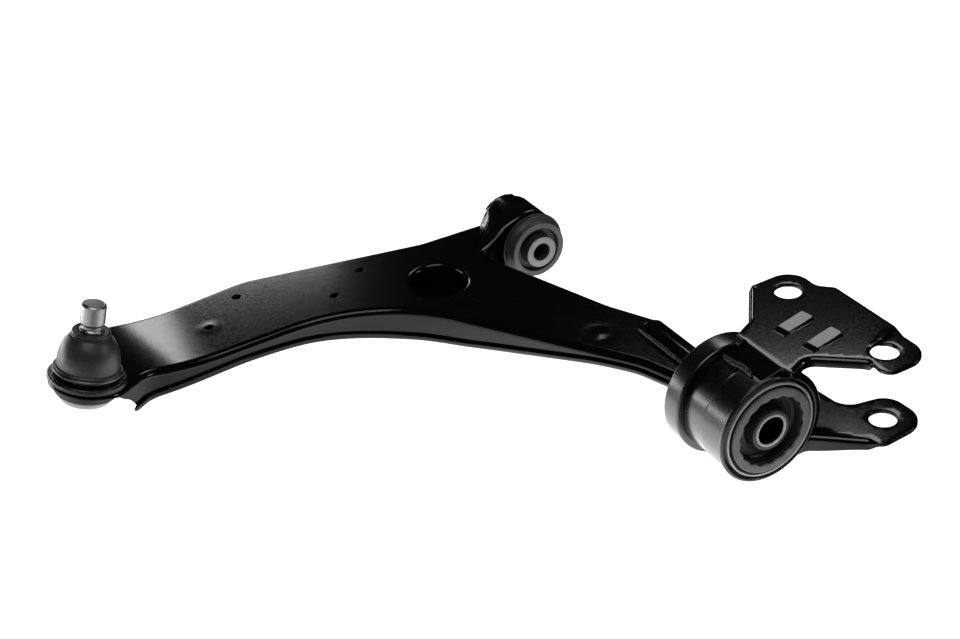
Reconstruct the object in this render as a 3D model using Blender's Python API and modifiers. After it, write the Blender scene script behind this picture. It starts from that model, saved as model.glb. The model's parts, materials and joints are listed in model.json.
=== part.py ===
"""Left-hand front lower control arm of a compact car, built as an assembly of separate pieces.

The arm is a box of two pressed steel shells.  It swings about one axis that runs through both
bushes, and carries a ball joint at its outer end.  X points to the rear of the car along that
swing axis, Y points inboard and Z points up.  World zero is the seat on top of the bracket, where
the bracket bolts up against the subframe.

Every shape is described in millimetres in the pivot frame, whose zero lies on the swing axis in the
plane of the rear bush's open end, and is placed in the world in metres.
"""
import math

import bmesh
import bpy
from mathutils import Matrix, Vector

MM = 0.001
GAP = 0.3                    # clearance between pieces that touch

# Places (pivot frame, mm)
SEAT = (-25.0, 80.0, 42.0)   # point on the bracket's top face that is the world's zero
BALL_XY = (-285.4, -358.8)   # where the ball joint's axis meets the top of the arm
BALL_LEAN = math.radians(17.0)

# Arm shells
PLATE_TOP = 10.0
SHELL_STEEL = 3.0
TRAY_STEEL = 2.5
EDGE_RADIUS = 5.0
TRAY_RADIUS = 3.4
BEND_START = -262.0          # outboard of here the arm curves up to square with the ball joint
BEND_LENGTH = 70.0
# Height of the tray's underside along the arm, against x + y, from the ball joint to the spigot
FLOOR_PROFILE = (
    (-610.0, -13.5),
    (-572.0, -7.0),
    (-545.0, -4.3),
    (-516.0, -4.3),
    (-483.0, -7.0),
    (-445.0, -11.5),
    (-402.0, -15.0),
    (-340.0, -15.0),
    (-290.0, -10.5),
    (-175.0, -1.0),
)
TRAY_LIP = 5.0               # height of the tray's wall outside the upper shell
TRAY_ROOM = 1.0              # gap between the tray's floor and the upper shell's edge
# x, y and corner radius, counterclockwise from above, starting at the outer end
ARM_OUTLINE = (
    (-297.0, -384.0, 25.2),
    (-260.5, -384.0, 25.2),
    (-262.0, -344.0, 18.0),
    (-286.0, -318.0, 25.0),
    (-286.0, -140.5, 118.0),
    (-103.0, -31.5, 60.0),
    (-72.0, -22.0, 7.0),
    (-72.0, 6.0, 7.0),
    (-138.0, 10.0, 8.0),
    (-176.0, -7.5, 60.0),
    (-290.0, -43.5, 8.0),
    (-309.0, -10.0, 7.0),
    (-333.0, -10.0, 7.0),
    (-336.5, -75.0, 40.0),
    (-370.0, -210.0, 60.0),
    (-361.0, -330.0, 40.0),
)
WINDOW_CENTRE = (-279.3, -90.8)
WINDOW_LENGTH = 46.0
WINDOW_WIDTH = 39.5
WINDOW_TURN = math.radians(-12.0)
WINDOW_COLLAR = 9.0
# x, y and radius of the small gauge and drain holes in the upper shell
ARM_HOLES = ((-350.0, -223.0, 3.4), (-323.0, -256.0, 3.4), (-328.0, -131.0, 3.2), (-307.0, -163.0, 3.2))

# Front bush (x along the swing axis)
FRONT_X = -315.0             # middle of the bush
FRONT_SLEEVE_HALF = 33.7
FRONT_BORE = 7.2
FRONT_SLEEVE_R = 12.6
FRONT_RUBBER_R = 20.4
FRONT_OUTER_R = 22.4
BARREL_R = 25.0
BARREL_HALF = 18.6
# y and z down the saddle's top, from over the barrel to the arm's plate
SADDLE_LINE = ((5.0, 27.6), (0.0, 28.0), (-8.0, 27.3), (-16.0, 25.6), (-23.0, 23.0), (-29.0, 19.5), (-35.0, 15.5),
               (-41.0, 12.0), (-48.0, 9.0))
SADDLE_STEEL = 2.4
SADDLE_ENDS = (-331.5, -296.6)

# Rear bush, from its open end at x = 0 towards the arm
CAN_R = 36.9
CAN_WIDE_R = 38.0
CAN_LIP_R = 39.1
CAN_BORE_R = 35.0
CAN_LENGTH = 44.0
CAN_STEP = -23.0
COLLAR_R = 41.8
COLLAR_LENGTH = 16.0
REAR_OUTER_R = 33.2
REAR_SLEEVE_R = 14.5
SPIGOT_R = 12.0
SPIGOT_BORE = 10.2
SPIGOT_ROOT_R = 13.2
SPIGOT_ROOT_X = -137.0

# Bracket
BRACKET_STEEL = 3.0
UPPER_TOP = 42.0
LOWER_TOP = -20.0
BOLT_R = 9.4
UPPER_FLANGE = 3.5
WEB_R = 42.2                 # outside of the web that wraps the can between the plates
LOWER_FLANGE = 8.0
UPPER_HOLES = ((-73.5, 71.5), (20.3, 75.5))
LOWER_HOLES = ((12.2, 84.3),)
UPPER_OUTLINE = (
    (6.0, 13.0, 2.0),
    (-2.0, 31.0, 9.0),
    (25.0, 61.0, 10.0),
    (42.0, 57.5, 9.0),
    (42.0, 96.5, 17.0),
    (14.0, 96.5, 8.0),
    (2.0, 100.0, 5.0),
    (-58.0, 100.0, 5.0),
    (-68.0, 91.0, 9.0),
    (-94.0, 92.0, 16.0),
    (-94.0, 54.0, 5.0),
    (-61.5, 29.0, 6.0),
    (-53.0, 12.0, 2.0),
)
LOWER_OUTLINE = (
    (-1.0, 19.0, 2.0),
    (-1.0, 31.5, 8.0),
    (25.5, 59.5, 10.0),
    (35.0, 66.0, 9.0),
    (32.0, 107.0, 19.0),
    (-6.0, 105.5, 15.0),
    (-13.0, 72.5, 14.0),
    (-56.0, 69.0, 6.0),
    (-56.0, 19.0, 2.0),
)
BEAD_CENTRES = ((-38.0, 46.0), (-12.0, 49.0))
BEAD_SIZE = (11.0, 31.0)
BEAD_TURN = math.radians(8.0)
BEAD_HEIGHT = 2.2

# Ball joint (heights along its own axis from the top of the arm)
BALL_R = 11.8
BALL_HEIGHT = -2.0
FLANGE_R = 27.0
HOUSING_R = 21.6
END_CUT_R = 27.3             # the arm's side walls stop this far from the ball joint's axis,
END_CUT_FLARE = 0.6          # and further from it lower down, by this much per mm
END_CUT_TOP = -4.0
END_CUT_LOW = -50.0
STUD_R = 8.1
STUD_TOP = 57.0

STEPS = 40

PAINT = (0.012, 0.012, 0.013, 1.0)
RUBBER = (0.02, 0.02, 0.021, 1.0)
GREY_RUBBER = (0.17, 0.17, 0.18, 1.0)
STEEL = (0.55, 0.55, 0.56, 1.0)
ZINC = (0.72, 0.73, 0.75, 1.0)
ACETAL = (0.82, 0.81, 0.77, 1.0)


def clear_scene():
    for old in list(bpy.data.objects):
        bpy.data.objects.remove(old, do_unlink=True)


def make_collection(name):
    collection = bpy.data.collections.new(name)
    bpy.context.scene.collection.children.link(collection)
    return collection


def make_material(name, colour, roughness, metallic):
    material = bpy.data.materials.new(name)
    material.use_nodes = True
    shader = material.node_tree.nodes["Principled BSDF"]
    shader.inputs["Base Color"].default_value = colour
    shader.inputs["Roughness"].default_value = roughness
    shader.inputs["Metallic"].default_value = metallic
    return material


class Assembly:
    """Holds the collections and the empties that the pieces hang on."""

    def __init__(self):
        self.parts = make_collection("control_arm")
        self.cutters = make_collection("cutters")
        self.frames = {}

    def add_frame(self, name, place):
        empty = bpy.data.objects.new(name, None)
        empty.matrix_world = place
        empty.empty_display_size = 0.02
        self.parts.objects.link(empty)
        self.frames[name] = empty

    def add_part(self, obj, frame, look):
        self.parts.objects.link(obj)
        obj.parent = self.frames[frame]
        obj.data.materials.append(make_material(obj.name, *look))
        return obj

    def add_cutter(self, obj):
        self.cutters.objects.link(obj)
        obj.hide_render = True
        obj.display_type = "WIRE"
        return obj


PAINTED = (PAINT, 0.25, 0.0)
RUBBERY = (RUBBER, 0.6, 0.0)
BARE = (STEEL, 0.35, 1.0)


def pivot_matrix():
    """World place of the pivot frame."""
    return Matrix.Translation(-Vector(SEAT) * MM)


def lift(y):
    """How far the arm's bend raises it at this y, in mm."""
    slope = math.tan(BALL_LEAN)
    past = BEND_START - y
    if past <= 0.0:
        return 0.0
    if past < BEND_LENGTH:
        return slope * past * past / (2.0 * BEND_LENGTH)
    return slope * (past - BEND_LENGTH / 2.0)


def ball_matrix():
    """World place of the ball joint's frame: zero on top of the arm, Z along the stud."""
    x, y = BALL_XY
    foot = Vector((x, y, PLATE_TOP + lift(y))) * MM
    return pivot_matrix() @ Matrix.Translation(foot) @ Matrix.Rotation(-BALL_LEAN, 4, "X")


def along_x(x=0.0):
    """Place, in the pivot frame, that lays a turned piece's Z along the swing axis at this x."""
    return Matrix.Translation((x * MM, 0.0, 0.0)) @ Matrix.Rotation(math.pi / 2.0, 4, "Y")


def along_ball(height=0.0):
    return Matrix.Translation((0.0, 0.0, height * MM))


def rounded_outline(corners, grow=0.0, step=math.radians(11.0)):
    """Closed outline with an arc at each corner; grow moves the whole outline outwards."""
    points = []
    count = len(corners)
    for index, (x, y, radius) in enumerate(corners):
        here = Vector((x, y))
        run_in = (here - Vector(corners[index - 1][:2])).normalized()
        run_out = (Vector(corners[(index + 1) % count][:2]) - here).normalized()
        turn = math.atan2(run_in.cross(run_out), run_in.dot(run_out))
        side = math.copysign(1.0, turn)
        radius = max(radius + side * grow, 0.3)
        out_in = Vector((run_in.y, -run_in.x))
        out_out = Vector((run_out.y, -run_out.x))
        corner = here + (out_in + out_out) * grow / (1.0 + out_in.dot(out_out))
        start = corner - run_in * radius * math.tan(abs(turn) / 2.0)
        centre = start - out_in * side * radius
        arm = start - centre
        pieces = max(2, math.ceil(abs(turn) / step))
        for piece in range(pieces + 1):
            turned_arm = arm.copy()
            turned_arm.rotate(Matrix.Rotation(turn * piece / pieces, 2))
            points.append(centre + turned_arm)
    return points


def slot_outline(centre, length, width, turn, steps=10):
    """A slot with round ends, its long side turned from X."""
    radius = width / 2.0
    reach = length / 2.0 - radius
    points = []
    for end in (1.0, -1.0):
        for piece in range(steps + 1):
            angle = math.pi * (piece / steps - 0.5) + (0.0 if end > 0 else math.pi)
            points.append(Vector((end * reach + radius * math.cos(angle), radius * math.sin(angle))))
    rotation = Matrix.Rotation(turn, 2)
    return [Vector(centre) + rotation @ point for point in points]


def extruded_mesh(name, outlines, low, high, place=Matrix.Identity(4)):
    """Closed block between two heights; later outlines are holes in the first."""
    curve = bpy.data.curves.new(name, "CURVE")
    curve.dimensions = "2D"
    curve.fill_mode = "BOTH"
    curve.extrude = (high - low) / 2.0 * MM
    for outline in outlines:
        spline = curve.splines.new("POLY")
        spline.points.add(len(outline) - 1)
        for point, (x, y) in zip(spline.points, outline):
            point.co = (x * MM, y * MM, 0.0, 1.0)
        spline.use_cyclic_u = True
    flat = bpy.data.objects.new(name + "_outline", curve)
    bpy.context.scene.collection.objects.link(flat)
    graph = bpy.context.evaluated_depsgraph_get()
    mesh = bpy.data.meshes.new_from_object(flat.evaluated_get(graph))
    bpy.data.objects.remove(flat)
    work = bmesh.new()
    work.from_mesh(mesh)
    bmesh.ops.remove_doubles(work, verts=work.verts, dist=1e-6)
    bmesh.ops.translate(work, verts=work.verts, vec=(0.0, 0.0, (high + low) / 2.0 * MM))
    bmesh.ops.transform(work, verts=work.verts, matrix=place)
    bmesh.ops.recalc_face_normals(work, faces=work.faces)
    work.to_mesh(mesh)
    work.free()
    return mesh


def extruded(name, outlines, low, high, place=Matrix.Identity(4)):
    return bpy.data.objects.new(name, extruded_mesh(name, outlines, low, high, place))


def turned(name, profile, place, closed=True, steps=STEPS):
    """Solid turned about local Z.  The profile holds (radius, height), down its outer side."""
    mesh = bpy.data.meshes.new(name)
    points = [(radius * MM, 0.0, height * MM) for radius, height in profile]
    edges = [(i, i + 1) for i in range(len(points) - 1)]
    if closed:
        edges.append((len(points) - 1, 0))
    mesh.from_pydata(points, edges, [])
    obj = bpy.data.objects.new(name, mesh)
    obj.matrix_local = place
    screw = obj.modifiers.new("turn", "SCREW")
    screw.axis = "Z"
    screw.steps = steps
    screw.render_steps = steps
    screw.use_merge_vertices = True
    screw.merge_threshold = 0.00001
    screw.use_smooth_shade = True
    return obj


def ring_profile(inner, outer, low, high):
    return ((outer, high), (outer, low), (inner, low), (inner, high))


def rod(name, radius, low, high, place, steps=STEPS):
    """Plain round bar between two heights on its local Z."""
    return turned(name, ((0.0, high), (radius, high), (radius, low), (0.0, low)), place, False, steps)


def wire_ring(name, major, minor, height, place):
    profile = []
    for piece in range(6):
        angle = -2.0 * math.pi * piece / 6
        profile.append((major + minor * math.cos(angle), height + minor * math.sin(angle)))
    return turned(name, profile, place)


def boolean(obj, other, operation="DIFFERENCE"):
    modifier = obj.modifiers.new(operation.lower() + "_" + other.name, "BOOLEAN")
    modifier.operation = operation
    modifier.object = other
    modifier.solver = "EXACT"


def cut(kit, obj, cutter, frame):
    """Cuts obj with a cutter that is placed in the same frame."""
    kit.add_cutter(cutter)
    cutter.parent = kit.frames[frame]
    boolean(obj, cutter)


def weld_bead(name, start, end, radius, lumps):
    """A run of weld metal as a row of overlapping lumps along a straight line, in one solid."""
    start = Vector(start)
    run = Vector(end) - start
    sections = lumps * 2
    profile = [(0.0, run.length)]
    for section in range(sections + 1):
        share = section / sections
        taper = math.sin(math.pi * min(max(share, 0.04), 0.96)) ** 0.3
        ripple = 1.0 + 0.10 * math.cos(2.0 * math.pi * share * lumps)
        profile.append((radius * taper * ripple, run.length * (1.0 - share)))
    profile.append((0.0, 0.0))
    place = Matrix.Translation(start * MM) @ run.to_track_quat("Z", "X").to_matrix().to_4x4()
    return turned(name, profile, place, False, 8)


def floor_level(x, y):
    """Height of the tray's underside before the arm's bend, in mm."""
    along = x + y
    places, heights = zip(*FLOOR_PROFILE)
    if along <= places[0]:
        return heights[0]
    for index in range(1, len(places)):
        if along < places[index]:
            share = (along - places[index - 1]) / (places[index] - places[index - 1])
            return heights[index - 1] + (heights[index] - heights[index - 1]) * share
    return heights[-1]


def add_bend_lines(work):
    """Splits the faces where the arm bends and where the slope of its floor changes."""
    cuts = [((0.0, BEND_START + 1.0 - BEND_LENGTH * k / 4.0), (0.0, 1.0)) for k in range(6)]
    cuts += [((along, 0.0), (1.0, 1.0)) for along, _ in FLOOR_PROFILE]
    for (x, y), (normal_x, normal_y) in cuts:
        geometry = list(work.verts) + list(work.edges) + list(work.faces)
        bmesh.ops.bisect_plane(work, geom=geometry, dist=1e-6, plane_co=(x * MM, y * MM, 0.0),
                               plane_no=(normal_x, normal_y, 0.0))


def open_block(work, missing_normal):
    """Removes the flat faces that point this way, and joins the triangles of the rest."""
    flat = [face for face in work.faces if face.normal.z * missing_normal > 0.9]
    bmesh.ops.delete(work, geom=flat, context="FACES")
    bmesh.ops.dissolve_limit(work, angle_limit=math.radians(1.0), verts=work.verts, edges=work.edges)


def round_edges(work, level, radius, segments):
    """Rounds the sharp edges that lie at this height."""
    edges = []
    for edge in work.edges:
        at_level = all(abs(vert.co.z - level * MM) < 1e-5 for vert in edge.verts)
        if at_level and len(edge.link_faces) == 2 and edge.calc_face_angle() > math.radians(60.0):
            edges.append(edge)
    bmesh.ops.bevel(work, geom=edges, offset=radius * MM, segments=segments, profile=0.5, affect="EDGES")


def shell_object(name, mesh, steel, missing_normal, level, radius, shape_point):
    """Opens a block on one side, rounds its closed side, bends it and gives it a thickness."""
    work = bmesh.new()
    work.from_mesh(mesh)
    open_block(work, missing_normal)
    round_edges(work, level, radius, 3)
    add_bend_lines(work)
    for vert in work.verts:
        x, y, z = (value / MM for value in vert.co)
        vert.co.z = (shape_point(x, y, z) + lift(y)) * MM
    bmesh.ops.triangulate(work, faces=[face for face in work.faces if len(face.verts) > 4])
    work.to_mesh(mesh)
    work.free()
    obj = bpy.data.objects.new(name, mesh)
    solidify = obj.modifiers.new("steel", "SOLIDIFY")
    solidify.thickness = steel * MM
    solidify.offset = -1.0
    solidify.use_even_offset = True
    return obj


def arc_strip_outline(inner, outer, first, last, pieces=10):
    """Outline of a piece of a ring, in its own plane, between two angles in degrees."""
    angles = [math.radians(first + (last - first) * k / pieces) for k in range(pieces + 1)]
    outside = [Vector((outer * math.cos(a), outer * math.sin(a))) for a in angles]
    inside = [Vector((inner * math.cos(a), inner * math.sin(a))) for a in reversed(angles)]
    return outside + inside


def strip_outline(points, steel):
    """Outline of a strip that follows a line of points, with its steel on the left of the line."""
    left = []
    for index, point in enumerate(points):
        before = points[max(index - 1, 0)]
        after = points[min(index + 1, len(points) - 1)]
        run = (after - before).normalized()
        left.append(point + Vector((-run.y, run.x)) * steel)
    return list(points) + left[::-1]


def across_x(x=0.0):
    """Place that turns a flat outline (x, y) into (Y, Z) of the pivot frame."""
    turn = Matrix(((0, 0, 1, 0), (1, 0, 0, 0), (0, 1, 0, 0), (0, 0, 0, 1)))
    return Matrix.Translation((x * MM, 0.0, 0.0)) @ turn


def window_distance(x, y):
    return math.hypot(x - WINDOW_CENTRE[0], y - WINDOW_CENTRE[1])


def end_cut_low_radius():
    return END_CUT_R + END_CUT_FLARE * (END_CUT_TOP - END_CUT_LOW)


def make_upper_shell(kit):
    """Upper pressing: top plate, down-turned edges, collared window and the saddle on the barrel."""
    outline = rounded_outline(ARM_OUTLINE)
    window = slot_outline(WINDOW_CENTRE, WINDOW_LENGTH, WINDOW_WIDTH, WINDOW_TURN)
    low = -30.0
    mesh = extruded_mesh("arm_upper_shell", (outline, window), low, PLATE_TOP)

    def shape_point(x, y, z):
        if z > low + 1.0:
            return z
        if window_distance(x, y) < WINDOW_LENGTH * 0.6:
            return PLATE_TOP - WINDOW_COLLAR
        return floor_level(x, y) + TRAY_STEEL + TRAY_ROOM

    shell = shell_object("arm_upper_shell", mesh, SHELL_STEEL, -1.0, PLATE_TOP, EDGE_RADIUS, shape_point)
    kit.add_part(shell, "arm_swing_axis", PAINTED)
    for number, (x, y, radius) in enumerate(ARM_HOLES):
        hole = rod(f"arm_hole_{number}", radius, PLATE_TOP - 8.0, PLATE_TOP + 8.0,
                   Matrix.Translation((x * MM, y * MM, 0.0)), 20)
        cut(kit, shell, hole, "arm_swing_axis")
    barrel = rod("barrel_space", BARREL_R + GAP, -45.0, 45.0, along_x(FRONT_X))
    cut(kit, shell, barrel, "arm_swing_axis")
    line = [Vector(point) for point in SADDLE_LINE]
    saddle = extruded("saddle", (strip_outline(line, SADDLE_STEEL),), *SADDLE_ENDS, across_x())
    join_part(kit, shell, saddle, "arm_swing_axis")
    spigot = rod("spigot_space", SPIGOT_ROOT_R + GAP, SPIGOT_ROOT_X - GAP, 0.0, along_x())
    cut(kit, shell, spigot, "arm_swing_axis")
    housing = rod("housing_space", HOUSING_R + GAP, -60.0, 60.0, along_ball())
    cut(kit, shell, housing, "ball_joint_axis")
    inner = HOUSING_R - 4.0
    end_room = turned("end_wall_space", (
        (END_CUT_R, END_CUT_TOP), (end_cut_low_radius(), END_CUT_LOW), (inner, END_CUT_LOW), (inner, END_CUT_TOP)),
        along_ball())
    cut(kit, shell, end_room, "ball_joint_axis")
    return shell


def make_lower_shell(kit):
    """Lower pressing: a shallow tray whose low wall laps outside the upper shell."""
    outline = rounded_outline(ARM_OUTLINE, grow=GAP + TRAY_STEEL)
    low = -40.0
    mesh = extruded_mesh("arm_lower_shell", (outline,), low, low + TRAY_LIP)

    def shape_point(x, y, z):
        return floor_level(x, y) + (z - low)

    shell = shell_object("arm_lower_shell", mesh, TRAY_STEEL, 1.0, low, TRAY_RADIUS, shape_point)
    kit.add_part(shell, "arm_swing_axis", PAINTED)
    barrel = rod("barrel_space_low", BARREL_R + GAP, -45.0, 45.0, along_x(FRONT_X))
    cut(kit, shell, barrel, "arm_swing_axis")
    spigot = rod("spigot_space_low", SPIGOT_ROOT_R + GAP, SPIGOT_ROOT_X - GAP, 0.0, along_x())
    cut(kit, shell, spigot, "arm_swing_axis")
    end_room = turned("tray_end_space", (
        (0.0, 60.0), (END_CUT_R, 60.0), (END_CUT_R, END_CUT_TOP), (end_cut_low_radius(), END_CUT_LOW),
        (0.0, END_CUT_LOW)), along_ball(), False)
    cut(kit, shell, end_room, "ball_joint_axis")
    return shell


def make_front_bush(kit):
    """Barrel welded to the arm, with its bush: outer sleeve, rubber and inner sleeve."""
    place = along_x(FRONT_X)
    frame = "arm_swing_axis"
    barrel = turned("front_bush_barrel",
                    ring_profile(FRONT_OUTER_R + GAP, BARREL_R, -BARREL_HALF, BARREL_HALF), place)
    kit.add_part(barrel, frame, PAINTED)
    flange_low = BARREL_HALF + GAP
    flange_high = flange_low + 2.0
    outer = turned("front_bush_outer_sleeve", (
        (25.9, flange_high), (25.9, flange_low), (FRONT_OUTER_R, flange_low),
        (FRONT_OUTER_R, -BARREL_HALF - 1.0), (FRONT_RUBBER_R + GAP, -BARREL_HALF - 1.0),
        (FRONT_RUBBER_R + GAP, flange_high)), place)
    kit.add_part(outer, frame, PAINTED)
    inner_r = FRONT_SLEEVE_R + GAP
    lip_low = flange_high + GAP
    rubber = turned("front_bush_rubber", (
        (22.2, lip_low + 8.0), (24.9, lip_low + 1.0), (24.9, lip_low), (FRONT_RUBBER_R, lip_low),
        (FRONT_RUBBER_R, -BARREL_HALF - 4.0), (inner_r, -BARREL_HALF - 4.0), (inner_r, lip_low + 3.5),
        (17.0, lip_low + 3.5), (17.6, lip_low + 8.6)), place)
    kit.add_part(rubber, frame, RUBBERY)
    sleeve = turned("front_bush_inner_sleeve", (
        (FRONT_SLEEVE_R - 0.5, FRONT_SLEEVE_HALF), (FRONT_SLEEVE_R, FRONT_SLEEVE_HALF - 0.5),
        (FRONT_SLEEVE_R, -FRONT_SLEEVE_HALF + 0.5), (FRONT_SLEEVE_R - 0.5, -FRONT_SLEEVE_HALF),
        (FRONT_BORE, -FRONT_SLEEVE_HALF), (FRONT_BORE, FRONT_SLEEVE_HALF)), place)
    kit.add_part(sleeve, "front_sleeve_axis", BARE)
    far_end = FRONT_X - BARREL_HALF
    bead = extruded("barrel_weld", (arc_strip_outline(BARREL_R + GAP, BARREL_R + 2.2, 84.0, 148.0),),
                    -1.0, 1.0, across_x(far_end + 0.2))
    kit.add_part(bead, frame, PAINTED)


def make_rear_bush(kit):
    """Can held by the bracket, with the bush inside it."""
    place = along_x()
    frame = "bracket_frame"
    can = turned("rear_bush_can", (
        (CAN_LIP_R - 0.8, 0.0), (CAN_LIP_R, -0.8), (CAN_LIP_R, -2.2), (CAN_WIDE_R, -3.0),
        (CAN_WIDE_R, CAN_STEP), (CAN_R, CAN_STEP - 1.0), (CAN_R, -CAN_LENGTH),
        (CAN_BORE_R, -CAN_LENGTH), (CAN_BORE_R, 0.0)), place, steps=48)
    kit.add_part(can, frame, PAINTED)
    collar_far = -CAN_LENGTH - GAP - COLLAR_LENGTH
    collar = turned("rear_bush_collar", (
        (COLLAR_R - 1.2, -CAN_LENGTH - GAP), (COLLAR_R, -CAN_LENGTH - GAP - 1.2),
        (COLLAR_R, collar_far + 1.2), (COLLAR_R - 1.2, collar_far), (26.0, collar_far),
        (26.0, collar_far + 2.5), (CAN_R - 1.5, collar_far + 2.5), (CAN_R - 1.5, -CAN_LENGTH - GAP)),
        place, steps=48)
    kit.add_part(collar, frame, PAINTED)
    outer = turned("rear_bush_outer_sleeve", (
        (CAN_BORE_R - GAP, 0.4), (CAN_BORE_R - GAP, -CAN_LENGTH), (REAR_OUTER_R, -CAN_LENGTH),
        (REAR_OUTER_R, 0.4)), place, steps=48)
    kit.add_part(outer, frame, BARE)
    rubber_r = REAR_OUTER_R - GAP
    inner_r = REAR_SLEEVE_R + GAP
    rubber = turned("rear_bush_rubber", (
        (rubber_r, 0.0), (rubber_r, -54.0), (inner_r, -54.0), (inner_r, -4.0), (18.0, -7.0),
        (24.0, -7.0), (24.8, 0.0)), place)
    kit.add_part(rubber, frame, RUBBERY)
    kit.add_part(make_stop_ring(), frame, (GREY_RUBBER, 0.55, 0.0))
    sleeve = turned("rear_bush_inner_sleeve", (
        (REAR_SLEEVE_R - 0.5, 1.4), (REAR_SLEEVE_R, 0.9), (REAR_SLEEVE_R, -62.0),
        (SPIGOT_R + GAP, -62.0), (SPIGOT_R + GAP, 1.4)), place)
    kit.add_part(sleeve, "arm_swing_axis", BARE)


def make_stop_ring():
    """Ring on the bush's open end, scalloped along its inner edge."""
    outer = [Vector((32.4 * math.cos(a), 32.4 * math.sin(a))) for a in ring_angles(48)]
    inner = []
    for angle in ring_angles(96):
        radius = 25.6 + 0.5 * math.cos(18.0 * angle)
        inner.append(Vector((radius * math.cos(angle), radius * math.sin(angle))))
    return extruded("rear_bush_stop_ring", (outer, inner), GAP, 2.5, across_x())


def ring_angles(count):
    return [2.0 * math.pi * k / count for k in range(count)]


def make_spigot(kit):
    """Steel tube that carries the arm's rear end inside the rear bush."""
    spigot = turned("rear_spigot", (
        (SPIGOT_R, 1.0), (SPIGOT_R, -63.0), (SPIGOT_ROOT_R, -65.0), (SPIGOT_ROOT_R, SPIGOT_ROOT_X + 1.0),
        (SPIGOT_ROOT_R - 1.0, SPIGOT_ROOT_X), (SPIGOT_BORE, SPIGOT_ROOT_X), (SPIGOT_BORE, 1.0)),
        along_x())
    kit.add_part(spigot, "arm_swing_axis", PAINTED)
    side = -SPIGOT_ROOT_R
    weld = weld_bead("spigot_weld", (SPIGOT_ROOT_X + 4.0, side + 1.9, PLATE_TOP + 2.1),
                     (-76.0, side + 1.9, PLATE_TOP + 2.1), 1.8, 16)
    kit.add_part(weld, "arm_swing_axis", PAINTED)


def bolt_outline(x, y):
    return [Vector((x + BOLT_R * math.cos(a), y + BOLT_R * math.sin(a))) for a in ring_angles(32)]


def flange_wall(name, points, low, high, steel):
    """Wall that follows a line of plan points, with its steel on the left of the line."""
    return extruded(name, (strip_outline(points, steel),), low, high)


def outline_part(outline, start, end):
    """The points of a counterclockwise outline from the one nearest start to the one nearest end."""
    first = min(range(len(outline)), key=lambda i: (outline[i] - Vector(start)).length)
    last = min(range(len(outline)), key=lambda i: (outline[i] - Vector(end)).length)
    count = (last - first) % len(outline)
    return [outline[(first + k) % len(outline)] for k in range(count + 1)]


def join_part(kit, obj, extra, frame):
    """Unites a helper solid with a piece."""
    kit.add_cutter(extra)
    extra.parent = kit.frames[frame]
    boolean(obj, extra, "UNION")


def can_space(name):
    """Room for the can and its collar."""
    can_end = -CAN_LENGTH + GAP
    profile = ((0.0, 0.5), (CAN_LIP_R + GAP, 0.5), (CAN_LIP_R + GAP, can_end),
               (COLLAR_R + GAP, can_end), (COLLAR_R + GAP, -70.0), (0.0, -70.0))
    return turned(name, profile, along_x(), False, 64)


def make_upper_bracket(kit):
    """Upper plate: bolt ears, stiffening beads, turned-down edges and the strap on the can."""
    frame = "bracket_frame"
    outline = rounded_outline(UPPER_OUTLINE)
    holes = [bolt_outline(x, y) for x, y in UPPER_HOLES]
    low = UPPER_TOP - BRACKET_STEEL
    plate = extruded("bracket_upper_plate", [outline] + holes, low, UPPER_TOP)
    kit.add_part(plate, frame, PAINTED)
    rear_edge = outline_part(outline, (4.0, 17.0), (27.0, 58.0))
    join_part(kit, plate, flange_wall("upper_rear_edge", rear_edge, low - UPPER_FLANGE, low + 1.0,
                                      BRACKET_STEEL), frame)
    front_edge = outline_part(outline, (-93.0, 53.0), (-54.0, 14.0))
    join_part(kit, plate, flange_wall("upper_front_edge", front_edge, low - UPPER_FLANGE, low + 1.0,
                                      BRACKET_STEEL), frame)
    strap = extruded("can_strap", (arc_strip_outline(CAN_WIDE_R + 1.1, UPPER_TOP - 0.6, 64.0, 104.0, 8),),
                     -CAN_LENGTH + 1.0, -1.0, across_x())
    slab = extruded("strap_slab", (((-70.0, -60.0), (20.0, -60.0), (20.0, 16.0), (-70.0, 16.0)),),
                    UPPER_TOP - 1.4, UPPER_TOP + 20.0)
    kit.add_cutter(slab)
    slab.parent = kit.frames[frame]
    boolean(strap, slab)
    join_part(kit, plate, strap, frame)
    for number, centre in enumerate(BEAD_CENTRES):
        bead = extruded(f"upper_bead_{number}", (slot_outline(centre, BEAD_SIZE[1], BEAD_SIZE[0],
                        math.pi / 2.0 + BEAD_TURN, 5),), UPPER_TOP - 1.0, UPPER_TOP + BEAD_HEIGHT)
        join_part(kit, plate, bead, frame)
    cut(kit, plate, can_space("can_space_top"), frame)
    return plate


def make_lower_bracket(kit):
    """Lower plate: one bolt ear, its rear edge turned down, and a web that wraps the can's side."""
    frame = "bracket_frame"
    outline = rounded_outline(LOWER_OUTLINE)
    holes = [bolt_outline(x, y) for x, y in LOWER_HOLES]
    low = LOWER_TOP - BRACKET_STEEL
    plate = extruded("bracket_lower_plate", [outline] + holes, low, LOWER_TOP)
    kit.add_part(plate, frame, PAINTED)
    edge = outline_part(outline, (-1.0, 21.0), (27.0, 61.0))
    join_part(kit, plate, flange_wall("lower_rear_edge", edge, low - LOWER_FLANGE, low + 1.0,
                                      BRACKET_STEEL), frame)
    web = extruded("can_web", (arc_strip_outline(CAN_WIDE_R + 1.1, WEB_R, -31.0, 54.0, 14),),
                   -CAN_LENGTH + 1.0, -1.0, across_x())
    join_part(kit, plate, web, frame)
    cut(kit, plate, can_space("can_space_low"), frame)
    return plate


def make_can_weld(kit):
    angle = math.radians(106.5)
    radius = CAN_R + 2.6
    y, z = radius * math.cos(angle), radius * math.sin(angle)
    weld = weld_bead("can_weld", (-42.0, y, z), (-14.0, y, z), 1.5, 9)
    kit.add_part(weld, "bracket_frame", PAINTED)


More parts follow.
